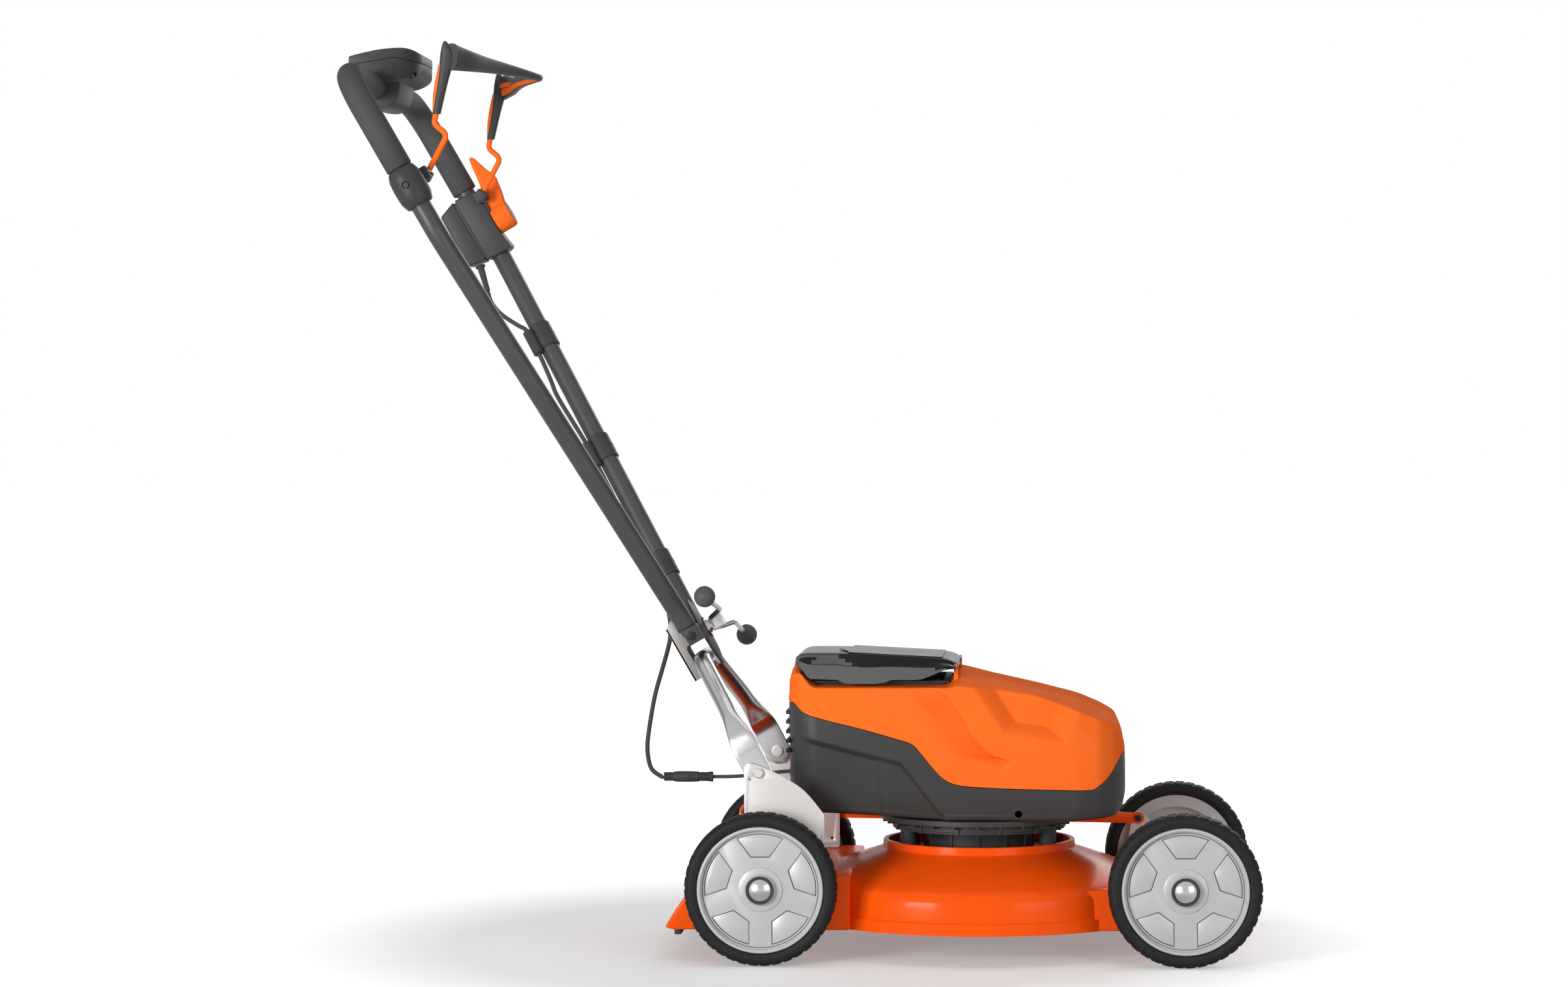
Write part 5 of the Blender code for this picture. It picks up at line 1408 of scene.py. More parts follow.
    def build(self) -> None:
        """Make both shells and the small parts on them."""
        hood = self.skin(True)
        hood = carved(hood, block((0.0605, -0.0945, 0.340), (0.2495, 0.0945, 0.410), 0.004))
        lugs = [block((0.2612, side * LID_LUG_Y - 0.0034, 0.3800),
                      (0.2676, side * LID_LUG_Y + 0.0034, 0.4042), 0.001) for side in (-1.0, 1.0)]
        tab = block((0.0262, -0.050, 0.3500), (0.0320, 0.050, 0.3580), 0.0012)
        piece("hood_shell", gathered([hood, *lugs, tab]), ORANGE_MOULD,
              Ride("deck", "orange_plastic", ("hood",)), 24.0)
        lower = self.skin(False)
        hole = pipe([Vector((*DECK_CENTRE, 0.170)), Vector((*DECK_CENTRE, 0.220))], 0.0690, 96)
        lower = carved(lower, hole)
        for side in (-1.0, 1.0):
            lower = carved(lower, cross_bar((0.3515, 0.1985), side * 0.120, side * 0.160, 0.0052))
        gland = lathe([(0.0, 0.0), (0.0060, 0.0), (0.0060, 0.0050), (0.0085, 0.0055), (0.0085, 0.0080),
                       (0.0, 0.0080)], 28, frame=aimed((0.0240, 0.0, 0.2450), (1.0, 0.0, 0.0)))
        louvres = [block((0.0255, -0.100, z), (0.0325, 0.100, z + 0.0060), 0.0018)
                   for z in (0.3340, 0.3205, 0.3070, 0.2935, 0.2800)]
        piece("lower_shell", gathered([lower, gland, *louvres]), DARK_MOULD,
              Ride("deck", "black_plastic", ("lower_housing",)), 24.0)


@dataclass
class BatteryLid:
    """The smoked lid over the battery bay: black top, paler bevelled side band."""

    wall: float = 0.0025

    STATIONS = ((0.0375, 0.094, 0.080, 0.4075), (0.0385, 0.100, 0.084, 0.4118),
                (0.0405, 0.106, 0.088, 0.4150), (0.0470, 0.115, 0.091, 0.4178),
                (0.0550, 0.1205, 0.092, 0.4188), (0.0900, 0.122, 0.092, 0.4188),
                (0.1390, 0.122, 0.092, 0.4180), (0.2000, 0.122, 0.092, 0.4150),
                (0.2450, 0.121, 0.092, 0.4118), (0.2550, 0.120, 0.090, 0.4102),
                (0.2620, 0.118, 0.088, 0.4072), (0.2665, 0.114, 0.085, 0.4038))
    EDGE = ((0.030, 0.4035), (0.0440, 0.4030), (0.0490, 0.3985), (0.0575, 0.3875), (0.0620, 0.3850),
            (0.1030, 0.3838), (0.1100, 0.3785), (0.1620, 0.3780), (0.1670, 0.3838), (0.2150, 0.3838),
            (0.2240, 0.3870), (0.2450, 0.3960), (0.2560, 0.3985), (0.280, 0.3985))

    def ring(self, station: Sequence[float], drawn_in: float) -> list[Triple]:
        """One section of the lid, from the left edge over the top to the right edge.

        Args:
            station: Distance, half-width at the foot, half-width at the crown and top.
            drawn_in: How far it is drawn in, with the edge left open.

        Returns:
            The section's points.
        """
        x, foot, crown, top = station
        edge = min(along(self.EDGE, x), top - 0.006)
        left = [(x, foot, edge + (0.3900 - edge) * i / 3.0) for i in range(3)] if edge < 0.3890 else []
        low = left[-1][2] + 0.0010 if left else edge
        high = top - 0.0045
        sunk = smoothstep(0.0560, 0.0760, x) * (1.0 - smoothstep(0.2160, 0.2360, x))
        band = min(0.0148, 0.6 * (high - low))
        left += [(x, foot, low), (x, foot - 0.0060, low + band - 0.0010), (x, foot - 0.0070, low + band)]
        rise = high - low - band
        for i in range(6):
            share = i / 5.0
            y = foot - 0.0075 - 0.0035 * sunk
            left.append((x, y + (crown + 0.0042 - y) * share, low + band + 0.0006 + (rise - 0.0006) * share))
        left += [(x, crown + 0.0032, high + 0.0020), (x, crown + 0.0010, high + 0.0034),
                 (x, crown - 0.003, top)]
        while len(left) < 15:
            left.insert(1, tuple((a + b) / 2.0 for a, b in zip(left[0], left[1])))
        left += [(x, (crown - 0.003) * (1.0 - share), top) for share in (0.35, 0.7, 1.0)]
        if drawn_in:
            x = 0.150 + (x - 0.150) * (1.0 - drawn_in / 0.112)
            left = [(x, max(0.0, b - drawn_in), c - drawn_in) for _, b, c in left]
            left.insert(0, (x, left[0][1], left[0][2] - 0.012))
        return left + [(a, -b, c) for a, b, c in reversed(left[:-1])]

    def build(self) -> None:
        """Make the lid's skin in two finishes and its hinge."""
        rows = Housing.smooth_rows([(*s, 0.0) for s in self.STATIONS], 5)
        outer = [self.ring(row[:4], 0.0) for row in rows]
        inner = [self.ring(row[:4], self.wall) for row in rows]
        bm = lofted(outer)
        for side in (-1.0, 1.0):
            slot = block((0.2565, side * LID_LUG_Y - 0.0045, 0.390),
                         (0.270, side * LID_LUG_Y + 0.0045, 0.4075), 0.0003)
            bm = carved(bm, slot)
        bm = carved(bm, lofted(inner))
        x, z = LID_HINGE
        barrels = [lathe([(0.0, -0.0475), (0.0018, -0.0475), (0.0018, 0.0), (0.0034, 0.0), (0.0034, 0.0395),
                          (0.0, 0.0395)], 20, frame=Matrix.Translation((0.0, side * 0.050, 0.0))
                         @ across(x, z, -side) @ Matrix.Translation((0.0, 0.0, -0.0395)))
                   for side in (-1.0, 1.0)]
        obj = piece("lid_cover", gathered([bm, *barrels]), SMOKED_TOP,
                    Ride("battery_lid", "smoked_plastic", ("battery_lid",)), 26.0)
        obj.data.materials.append(SMOKED_BAND.material())
        for face in obj.data.polygons:
            x, y, z = face.center
            low = max(along(self.EDGE, x), 0.3850)
            inside = 0.059 + 2.0 * (0.4122 - z) < x < 0.2368 - 1.67 * (0.4122 - z)
            if abs(y) > 0.084 and abs(face.normal.z) < 0.85 and not (inside and z > low + 0.0140):
                face.material_index = 1
        plate = slab([(0.0950, 0.0), (0.1120, -0.060), (0.1120, -0.085), (0.2450, -0.085), (0.2450, 0.085),
                      (0.1120, 0.085), (0.1120, 0.060)], 0.0, 0.0012)
        plate = moved(rounded(plate, 0.0005, 1), Matrix.Rotation(math.pi / 2.0, 4, "X"))
        tilt = Matrix.Translation((0.1390, 0.0, 0.41790)) @ Matrix.Rotation(0.0520, 4, "Y")
        moved(plate, tilt @ Matrix.Translation((-0.1390, 0.0, 0.0)))
        piece("lid_plate", plate, SMOKED_TOP, Ride("battery_lid", "smoked_plastic"))


@dataclass
class Brackets:
    """The zinc-plated handle brackets, their bolts and the hair pins."""

    def plate(self) -> list[Pair]:
        """Outline of a bracket, with its arched upper edge."""
        arch = curve_pairs([(-0.0265, 0.262), (-0.0245, 0.2690), (-0.0165, 0.2722), (0.0140, 0.2610),
                            (0.0465, 0.2425), (0.0640, 0.2270), (0.0840, 0.2020)], 5)
        return [(-0.0265, 0.1203), *arch, (0.0840, 0.1203)]

    def build(self) -> None:
        """Make both brackets and what bolts the handle to them."""
        slot = [(-0.0215, 0.2500), (-0.0175, 0.2480), (-0.0150, 0.2515), (-0.0190, 0.2540)]
        for side, label in SIDES:
            low, high = sorted((side * 0.1785, side * 0.1815))
            plate = slab(self.plate(), low, high, [circle(BRACKET_BOLT, 0.0044), slot,
                                                   circle((0.073, 0.130), 0.0025, 16)])
            foot_low, foot_high = sorted((side * 0.1550, side * 0.1790))
            foot = block((-0.0265, foot_low, 0.1183), (0.084, foot_high, 0.1213), 0.0006)
            piece(f"bracket_plate_{label}", gathered([rounded(plate, 0.0005, 2), foot]), ZINC,
                  Ride("deck", "zinc_steel", (f"rear_bracket_{label}",)))
            place = across(*BRACKET_BOLT, side)
            head = lathe([(0.0, 0.1868), (0.0062, 0.1868), (0.0075, 0.1860), (0.0075, 0.1818),
                          (0.0, 0.1818)], 6)
            shank = lathe([(0.0, 0.1820), (0.0040, 0.1820), (0.0040, 0.1640), (0.0, 0.1640)], 28)
            nut = lathe([(0.0, 0.1710), (0.0085, 0.1710), (0.0085, 0.1695), (0.0070, 0.1693),
                         (0.0070, 0.1650), (0.0, 0.1650)], 28)
            piece(f"bracket_bolt_{label}", moved(gathered([head, shank, nut]), place), ZINC,
                  Ride("deck", "zinc_steel", (f"handle_bolt_{label}",)))
            ring = pipe([Vector((0.0762 + 0.0042 * math.cos(a), side * 0.1835, 0.1300 + 0.0042 * math.sin(a)))
                         for a in (math.radians(d) for d in range(20, 330, 20))], 0.0008, 10)
            pin = pipe([Vector((0.0640, side * 0.1825, 0.1335)), Vector((0.0730, side * 0.1830, 0.1325))],
                       0.0009, 10)
            piece(f"hair_pin_{label}", gathered([ring, pin]), DARK_STEEL, Ride("deck", "dark_steel"))


@dataclass
class HeightGear:
    """Swing axles with their cranks, and the link bar on the left."""

    @staticmethod
    def pin(pivot: Pair) -> Pair:
        """Place of the link's pin on the crank that turns about a pivot."""
        return pivot[0] + LINK_PIN_OFFSET[0], pivot[1] + LINK_PIN_OFFSET[1]

    def axle(self, end: str, pivot: Pair, wheel_x: float) -> None:
        """Make one swing axle.

        Args:
            end: front or rear.
            pivot: Its pivot, as (x, z).
            wheel_x: Where its wheels stand.
        """
        pin = self.pin(pivot)
        bar = lathe([(0.0, -0.1990), (0.0074, -0.1990), (0.0080, -0.1984), (0.0080, 0.1984), (0.0074, 0.1990),
                     (0.0, 0.1990)], 32, frame=across(*pivot))
        parts = [bar]
        for side in (-1.0, 1.0):
            low, high = sorted((side * 0.1975, side * 0.2005))
            circles = [(pivot, 0.0125), ((wheel_x, WHEEL_RADIUS), 0.0105)]
            if side > 0.0:
                circles.append((pin, 0.0090))
            rim = [point for centre, radius in circles for point in circle(centre, radius, 36)]
            parts.append(rounded(wrapped([(x, y, z) for x, z in rim for y in (low, high)]), 0.0005, 1))
            stub = lathe([(0.0, 0.1990), (0.0060, 0.1990), (0.0060, 0.2512), (0.0052, 0.2520), (0.0, 0.2520)],
                         28, frame=across(wheel_x, WHEEL_RADIUS, side))
            parts.append(stub)
        parts.append(lathe([(0.0, 0.1866), (0.0046, 0.1866), (0.0050, 0.1872), (0.0050, 0.1990),
                            (0.0, 0.1990)], 24, frame=across(*pin)))
        piece(f"{end}_swing_axle", gathered(parts), ZINC, Ride(f"{end}_axle", "zinc_steel", (f"{end}_axle",)))
        head = lathe([(0.0, 0.1858), (0.0040, 0.1858), (0.0048, 0.1862), (0.0048, 0.1868), (0.0, 0.1868)], 24,
                     frame=across(*pin))
        piece(f"{end}_link_pin_head", head, BLACK_MOULD, Ride(f"{end}_axle", "dark_steel"))

    def build(self) -> None:
        """Make both axles and the link."""
        self.axle("front", FRONT_PIVOT, WHEELBASE)
        self.axle("rear", REAR_PIVOT, 0.0)
        front, rear = self.pin(FRONT_PIVOT), self.pin(REAR_PIVOT)
        parts = []
        for centre in (front, rear):
            eye = slab(circle(centre, 0.0088, 40), 0.1900, 0.1950, [circle(centre, 0.0053, 24)])
            parts.append(rounded(eye, 0.0006, 2))
        bar = [(rear[0] + 0.0062, rear[1] - 0.0080), (front[0] - 0.0062, front[1] - 0.0080),
               (front[0] - 0.0062, front[1] + 0.0080), (rear[0] + 0.0062, rear[1] + 0.0080)]
        parts.append(rounded(slab(bar, 0.1902, 0.1948), 0.0008, 2))
        piece("link_bar", gathered(parts), ORANGE_COAT, Ride("height_link", "orange_coat", ("height_link",)))


@dataclass
class LowerHandle:
    """The chromed lower handle, round at its crossbar and pressed flat at its feet."""

    radius: float = 0.0125

    def build(self) -> None:
        """Make the bent tube with its flattened feet."""
        foot_y = 0.1740
        bolt = Vector((BRACKET_BOLT[0], foot_y, BRACKET_BOLT[1]))
        top = Vector((-0.0290, foot_y, 0.3010))
        down = (bolt - top).normalized()
        half = [bolt + down * 0.0189, top, (-0.0574, 0.127, 0.350), (-0.0955, 0.065, 0.408)]
        path = filleted(both_sides(half), [0.045, 0.060, 0.045, 0.045, 0.060, 0.045], 14)
        dense = []
        for p, q in zip(path, path[1:]):
            count = max(1, round((q - p).length / 0.003))
            dense += [p.lerp(q, i / count) for i in range(count)]
        dense.append(path[-1])
        facing = Vector((math.cos(HANDLE_LEAN), 0.0, math.sin(HANDLE_LEAN)))
        rings = []
        for index, point in enumerate(dense):
            ahead = dense[min(index + 1, len(dense) - 1)] - dense[max(index - 1, 0)]
            tangent = ahead.normalized()
            wide = (facing - tangent * facing.dot(tangent)).normalized()
            thin = tangent.cross(wide)
            flat = 1.0 - smoothstep(0.292, 0.338, point.z)
            end = (Vector((bolt.x, 0.0, bolt.z)) - Vector((point.x, 0.0, point.z))).dot(-down)
            reach = math.sqrt(max(1e-6, 1.0 - (max(0.0, end) / 0.0190) ** 2))
            across_size = (self.radius + (0.0190 - self.radius) * flat) * reach
            through_size = self.radius + (0.0026 - self.radius) * flat
            power = 1.0 / (1.0 + 2.2 * flat)
            ring = []
            for i in range(36):
                angle = 2.0 * math.pi * i / 36.0
                c, s = math.cos(angle), math.sin(angle)
                ring.append(point + wide * across_size * math.copysign(abs(c) ** power, c)
                            + thin * through_size * math.copysign(abs(s) ** power, s))
            rings.append(ring)
        bm = lofted(rings)
        piece("lower_tube", bm, CHROME, Ride("lower_handle", "chrome", ("lower_handle_tube",)), 50.0)


@dataclass
class FoldClamp:
    """Channel, lug bolt, oval disc and the T-handle with its two knobs."""

    def channel(self) -> None:
        """Make the folded channel and the bolt through it."""
        s = FOLD_S
        web = block((-0.0315, -0.0285, s - 0.0598), (-0.0285, 0.0285, s + 0.0250), 0.0005, HANDLE)
        flange = [(-0.0315, s - 0.0600), (-0.0190, s - 0.0596), (-0.0190, s - 0.0150), (-0.0170, s - 0.0110),
                  (0.0020, s - 0.0085), (0.0066, s - 0.0050), (0.0080, s), (0.0066, s + 0.0050),
                  (0.0020, s + 0.0085), (-0.0170, s + 0.0110), (-0.0180, s + 0.0335), (-0.0315, s + 0.0244)]
        sides = []
        for low, high in ((-0.0285, -0.0260), (0.0260, 0.0285)):
            sides.append(rounded(slab(flange, low, high, [circle((0.0, s), 0.0044)], HANDLE), 0.0004, 2))
        piece("channel_plate", gathered([web, *sides]), ZINC_DARKER,
              Ride("lower_handle", "zinc_steel", ("clamp_channel",)))
        fold = on_handle(0.0, 0.0, s)
        shank = lathe([(0.0, 0.0670), (0.0040, 0.0670), (0.0040, -0.0670), (0.0, -0.0670)], 28)
        heads = [lathe([(0.0, 0.0), (0.0068, 0.0), (0.0068, 0.0036), (0.0056, 0.0042), (0.0, 0.0042)], 6,
                       frame=Matrix.Translation((0.0, 0.0, side * 0.0668)) @ Matrix.Rotation(
                           0.0 if side > 0.0 else math.pi, 4, "X")) for side in (-1.0, 1.0)]
        bm = moved(gathered([shank, *heads]), across(fold.x, fold.z))
        piece("fold_bolt_bar", bm, BLACK_MOULD, Ride("lower_handle", "dark_steel", ("fold_bolt",)))

    def disc(self) -> None:
        """Make the oval disc, thick at its hub and bevelled to its rim."""
        s = FOLD_S - 0.0052
        rings = []
        for x, share in ((0.0112, 0.20), (0.0112, 0.90), (0.0118, 0.97), (0.0130, 1.0), (0.0142, 1.0),
                         (0.0150, 0.985), (0.0166, 0.86), (0.0180, 0.70), (0.0188, 0.52), (0.0192, 0.30),
                         (0.0192, 0.12)):
            rings.append([(x, 0.034 * share * a, s + 0.0525 * share * b)
                          for a, b in circle((0.0, 0.0), 1.0, 96)])
        piece("oval_disc", lofted(rings, frame=HANDLE), DARK_MOULD,
              Ride("lower_handle", "black_plastic", ("clamp_disc",)))

    def lever(self) -> None:
        """Make the T-handle: washers, block, bent rods and ball knobs."""
        centre = FOLD_S - 0.001
        head = block((0.0260, -0.0090, centre - 0.0100), (0.0466, 0.0090, centre + 0.0100), 0.0018, HANDLE)
        stack = lathe([(0.0, 0.0196), (0.0155, 0.0196), (0.0160, 0.0202), (0.0160, 0.0216), (0.0100, 0.0220),
                       (0.0100, 0.0240), (0.0082, 0.0242), (0.0082, 0.0270), (0.0, 0.0270)], 40,
                      frame=HANDLE @ aimed((0.0, 0.0, centre), (1.0, 0.0, 0.0)))
        arm = [(0.0317, 0.004, -0.0060), (0.0317, 0.018, -0.0088), (0.0527, 0.043, -0.0132),
               (0.0512, 0.1055, -0.0332)]
        left = [(x, y, centre + z) for x, y, z in arm]
        right = [(x, -y, centre - z) for x, y, z in arm]
        rods = [pipe(filleted(run, [0.008, 0.012], 10), 0.0036, 20, HANDLE) for run in (left, right)]
        piece("turn_handle", gathered([head, stack, *rods]), CHROME,
              Ride("clamp_lever", "chrome", ("clamp_lever",)))
        for side, label in SIDES:
            tip = Vector((0.0512, side * 0.1055, centre - side * 0.0332))
            run = (tip - Vector((0.0527, side * 0.043, centre - side * 0.0132))).normalized()
            ball = [(0.0151 * math.sin(a), 0.0175 + 0.0151 * math.cos(a))
                    for a in (math.radians(d) for d in range(0, 137, 8))]
            profile = ball + [(0.0085, 0.0040), (0.0072, 0.0008), (0.0066, 0.0002), (0.0, 0.0002)]
            bm = lathe(profile, 48, frame=HANDLE @ aimed(tip, run))
            piece(f"ball_knob_{label}", bm, KNOB_MOULD,
                  Ride("clamp_lever", "black_plastic", (f"lever_knob_{label}",)))

    def build(self) -> None:
        """Make the whole clamp."""
        self.channel()
        self.disc()
        self.lever()


@dataclass
class UpperHandle:
    """The bent upper tube, its lugs, the foam grip, the control panel and the button."""

    def leg_path(self) -> list[Vector]:
        """Centre line of the tube."""
        half = [(0.0, leg_y(TUBE_FOOT_S), TUBE_FOOT_S), (0.0, HANDLE_HALF_WIDTH, 0.0),
                (0.0, HANDLE_HALF_WIDTH, CROSSBAR_S)]
        return filleted(both_sides(half), [0.12, 0.055, 0.055, 0.12], 14)

    def grip_path(self) -> list[Vector]:
        """Centre line of the grip."""
        half = [(0.0, HANDLE_HALF_WIDTH, s) for s in (0.105, 0.1065, 0.180, CROSSBAR_S)]
        return filleted(both_sides(half), [0.0, 0.0, 0.055, 0.055, 0.0, 0.0], 14)

    def tubes(self) -> None:
        """Make the tube, its foot lugs and the grip."""
        bm = pipe(self.leg_path(), TUBE_RADIUS, 40, HANDLE)
        piece("upper_tube", bm, TUBE_SATIN, Ride("upper_handle", "tube_coat", ("upper_handle_tube",)), 50.0)
        for side, label in SIDES:
            low, high = sorted((side * 0.0385, side * 0.0665))
            lug = block((-0.0085, low, FOLD_S - 0.0125), (0.0145, high, FOLD_S + 0.0115), 0.0012)
            neck = lathe([(0.0, 0.0), (0.0120, 0.0), (0.0130, 0.0180), (0.0, 0.0180)], 40,
                         frame=aimed((0.0, side * leg_y(FOLD_S + 0.004), FOLD_S + 0.004),
                                     (0.0, side * LEG_SPLAY, 1.0)))
            piece(f"lug_block_{label}", moved(gathered([lug, neck]), HANDLE), DARK_MOULD,
                  Ride("upper_handle", "black_plastic", (f"fold_lug_{label}",)))
        path = self.grip_path()
        last = len(path) - 1
        edge = {0: 0.0170, last: 0.0170}
        bm = pipe(path, lambda share: edge.get(round(share * last), 0.0185), 48, HANDLE)
        piece("foam_grip", bm, GRIP_FOAM, Ride("upper_handle", "soft_rubber", ("grip_sleeve",)), 50.0)

    def panel(self) -> None:
        """Make the control panel in two halves with a seam, and the button."""
        top = curve_pairs([(-0.5900, 1.2600), (-0.5860, 1.2635), (-0.5520, 1.2710), (-0.5250, 1.2740),
                           (-0.5080, 1.2738), (-0.4960, 1.2690), (-0.4905, 1.2600)], 5)
        upper = [*top, (-0.4905, 1.2545), (-0.5250, 1.2610), (-0.5550, 1.2560),
                 (-0.5900, 1.2520)]
        belly = curve_pairs([(-0.4907, 1.2540), (-0.4930, 1.2440), (-0.5010, 1.2355), (-0.5200, 1.2290),
                             (-0.5450, 1.2245), (-0.5700, 1.2250), (-0.5850, 1.2330), (-0.5898, 1.2515)], 4)
        lower = [*belly, (-0.5550, 1.2555), (-0.5250, 1.2605)]
        plan = curve_pairs([(-0.5450, 0.0900), (-0.5200, 0.0860), (-0.5020, 0.0700),
                            (-0.4930, 0.0460), (-0.4890, 0.0)], 5)
        plan = [(-0.6200, 0.0900), *plan, *[(x, -y) for x, y in reversed(plan[:-1])], (-0.6200, -0.0900)]
        stand = Matrix.Rotation(math.pi / 2.0, 4, "X")
        shells = []
        for outline, inset in ((upper, 0.0), (lower, 0.0005)):
            shape = slab(outline, -0.105, 0.105)
            tool = moved(slab([(x - inset, y * (1.0 - 4.0 * inset)) for x, y in plan], 1.10, 1.40), stand)
            shells.append(rounded(carved(shape, tool, Carve.KEEP), 0.0022, 3, 50.0))
        neck = curve_pairs([(-0.5209, 1.2330), (-0.5235, 1.2170), (-0.5270, 1.2040), (-0.5340, 1.1965),
                            (-0.5470, 1.1915), (-0.5700, 1.1960), (-0.5830, 1.2120), (-0.5870, 1.2330)], 4)
        stem = rounded(slab(neck, -0.060, 0.060), 0.0045, 3, 50.0)
        up = Vector((-0.2365, 0.0, 0.9716))
        button = Vector((-0.5715, 0.0, 1.2667))
        lid, case = (carved(shell, pipe([button - up * 0.008, button + up * 0.010], 0.0108, 40))
                     for shell in shells)
        for x, z in ((-0.5000, 1.2372), (-0.5060, 1.2345)):
            slot = block((x - 0.0020, -0.070, z - 0.0060), (x + 0.0020, -0.052, z + 0.0040), 0.0003)
            case = carved(case, slot)
        piece("panel_case", gathered([case, lid, stem]), DARK_MOULD,
              Ride("upper_handle", "black_plastic", ("control_panel",)), 28.0)
        cap = lathe([(0.0, -0.0058), (0.0098, -0.0058), (0.0100, -0.0050), (0.0100, 0.0004), (0.0092, 0.0013),
                     (0.0070, 0.0015), (0.0060, 0.0010), (0.0, 0.0008)], 48, frame=aimed(button, up))
        piece("start_button", cap, ORANGE_MOULD, Ride("power_button", "orange_plastic", ("power_button",)))

    def build(self) -> None:
        """Make the whole upper handle."""
        self.tubes()
        self.panel()


@dataclass
class HandleFittings:
    """Collar on the right leg, switch box and speed lever on the left."""

    def boss(self, side: float) -> BMesh:
        """The boss that holds a foot of the bail, on one side."""
        low, high = sorted((side * 0.2565, side * 0.2700))
        x, s = BAIL_PIVOT
        return block((0.0100, low, s - 0.0095), (x + 0.0055, high, s + 0.0095), 0.002)

    def collar(self) -> None:
        """Make the barrel-shaped collar with its bolt recess."""
        profile = [(0.0146, 0.1035), (0.0178, 0.1035), (0.0190, 0.1022), (0.0218, 0.0950), (0.0226, 0.0925),
                   (0.0232, 0.0850), (0.0234, 0.0755), (0.0232, 0.0660), (0.0226, 0.0590), (0.0216, 0.0562),
                   (0.0190, 0.0490), (0.0178, 0.0478), (0.0146, 0.0478)]
        shell = lathe(profile, 72, True, Matrix.Translation((0.0, -HANDLE_HALF_WIDTH, 0.0)))
        start, end = Vector((-0.0015, -0.3120, 0.0785)), Vector((-0.0015, -0.3050, 0.0785))
        shell = carved(shell, pipe([start, end], 0.0056, 40))
        rivet = lathe([(0.0, 0.0), (0.0043, 0.0), (0.0043, 0.0016), (0.0036, 0.0022), (0.0, 0.0024)], 32,
                      frame=aimed((-0.0015, -0.3049, 0.0785), (0.0, -1.0, 0.0)))
        bm = moved(gathered([shell, rivet, self.boss(-1.0)]), HANDLE)
        piece("collar_shell", bm, DARK_MOULD, Ride("upper_handle", "black_plastic", ("collar_right",)), 28.0)

    def switch_box(self) -> None:
        """Make the two halves of the switch box on either side of a groove."""
        outline = [(-0.0487, 0.0885), (-0.0190, 0.0995), (0.0155, 0.0965), (0.0183, 0.0900), (0.0183, 0.0230),
                   (0.0205, 0.0080), (0.0223, -0.0010), (0.0166, -0.0043), (-0.0120, -0.0030),
                   (-0.0500, 0.0035)]
        halves = []
        for low, high in ((-0.060, -0.0222), (-0.0218, -0.0182), (-0.0178, 0.030)):
            half = rounded(slab(outline, 0.2617, 0.3084), 0.0030, 3, 25.0)
            for edge, normal in ((low, (-1.0, 0.0, 0.0)), (high, (1.0, 0.0, 0.0))):
                cut = bmesh.ops.bisect_plane(half, geom=half.verts[:] + half.edges[:] + half.faces[:],
                                             plane_co=(edge, 0.0, 0.0), plane_no=normal, clear_outer=True)
                rim = [item for item in cut["geom_cut"] if isinstance(item, bmesh.types.BMEdge)]
                if rim:
                    bmesh.ops.holes_fill(half, edges=rim)
            halves.append(rounded(half, 0.0007, 2, 60.0))
        sizes = Matrix.Translation((0.0, 0.2850, 0.046)) @ Matrix.Diagonal((1.0, 0.93, 0.95, 1.0))
        moved(halves[1], sizes @ Matrix.Translation((0.0, -0.2850, -0.046)))
        spare = block((0.0135, 0.2640, 0.0550), (0.0220, 0.2690, 0.0745), 0.0015)
        bm = moved(gathered([*halves, self.boss(1.0), spare]), HANDLE)
        piece("switch_case", bm, DARK_MOULD, Ride("upper_handle", "black_plastic", ("switch_box",)), 28.0)

    def speed_lever(self) -> None:
        """Make the orange lever, its disc insert and the finger ribs."""
        y, s = LEVER_PIVOT
        hub = lathe([(0.0, 0.0190), (0.0205, 0.0190), (0.0215, 0.0200), (0.0215, 0.0420), (0.0200, 0.0452),
                     (0.0180, 0.0460), (0.0172, 0.0452), (0.0, 0.0450)], 64,
                    frame=aimed((0.0, y, s), (1.0, 0.0, 0.0)))
        arm = [(0.0195, 0.0560), (0.0400, 0.0560), (0.0455, 0.0640), (0.0490, 0.0800), (0.0520, 0.1000),
               (0.0505, 0.1080), (0.0455, 0.1180), (0.0405, 0.1330), (0.0375, 0.1430), (0.0345, 0.1452),
               (0.0310, 0.1440), (0.0290, 0.1300), (0.0275, 0.1120), (0.0249, 0.0952), (0.0195, 0.0640)]
        blade = rounded(slab(arm, y - 0.0100, y + 0.0100), 0.0028, 3, 30.0)
        for vert in blade.verts:
            flare = smoothstep(0.060, 0.150, vert.co.z)
            vert.co.y = y + (vert.co.y - y) * (1.15 - 0.45 * flare)
        dish = block((0.0180, y - 0.0052, 0.1080), (0.0315, y + 0.0052, 0.1400), 0.0020)
        dish_tilt = Matrix.Translation((0.030, 0.0, 0.124)) @ Matrix.Rotation(math.radians(7.0), 4, "Y")
        blade = carved(blade, moved(dish, dish_tilt @ Matrix.Translation((-0.030, 0.0, -0.124))))
        ribs = [block((0.0285 + 0.0009 * i, y - 0.0050, 0.1105 + 0.0060 * i),
                      (0.0345 + 0.0009 * i, y + 0.0050, 0.1125 + 0.0060 * i), 0.0006) for i in range(5)]
        bm = moved(gathered([hub, blade, *ribs]), HANDLE)
        piece("lever_arm", bm, ORANGE_MOULD, Ride("speed_lever", "orange_plastic", ("speed_lever",)))
        insert = lathe([(0.0, 0.0440), (0.0168, 0.0440), (0.0168, 0.0458), (0.0155, 0.0466),
                        (0.0, 0.0470)], 56, frame=HANDLE @ aimed((0.0, y, s), (1.0, 0.0, 0.0)))
        piece("lever_insert", insert, GREY_INSERT, Ride("speed_lever", "black_plastic"))

    def build(self) -> None:
        """Make the fittings."""
        self.collar()
        self.switch_box()
        self.speed_lever()


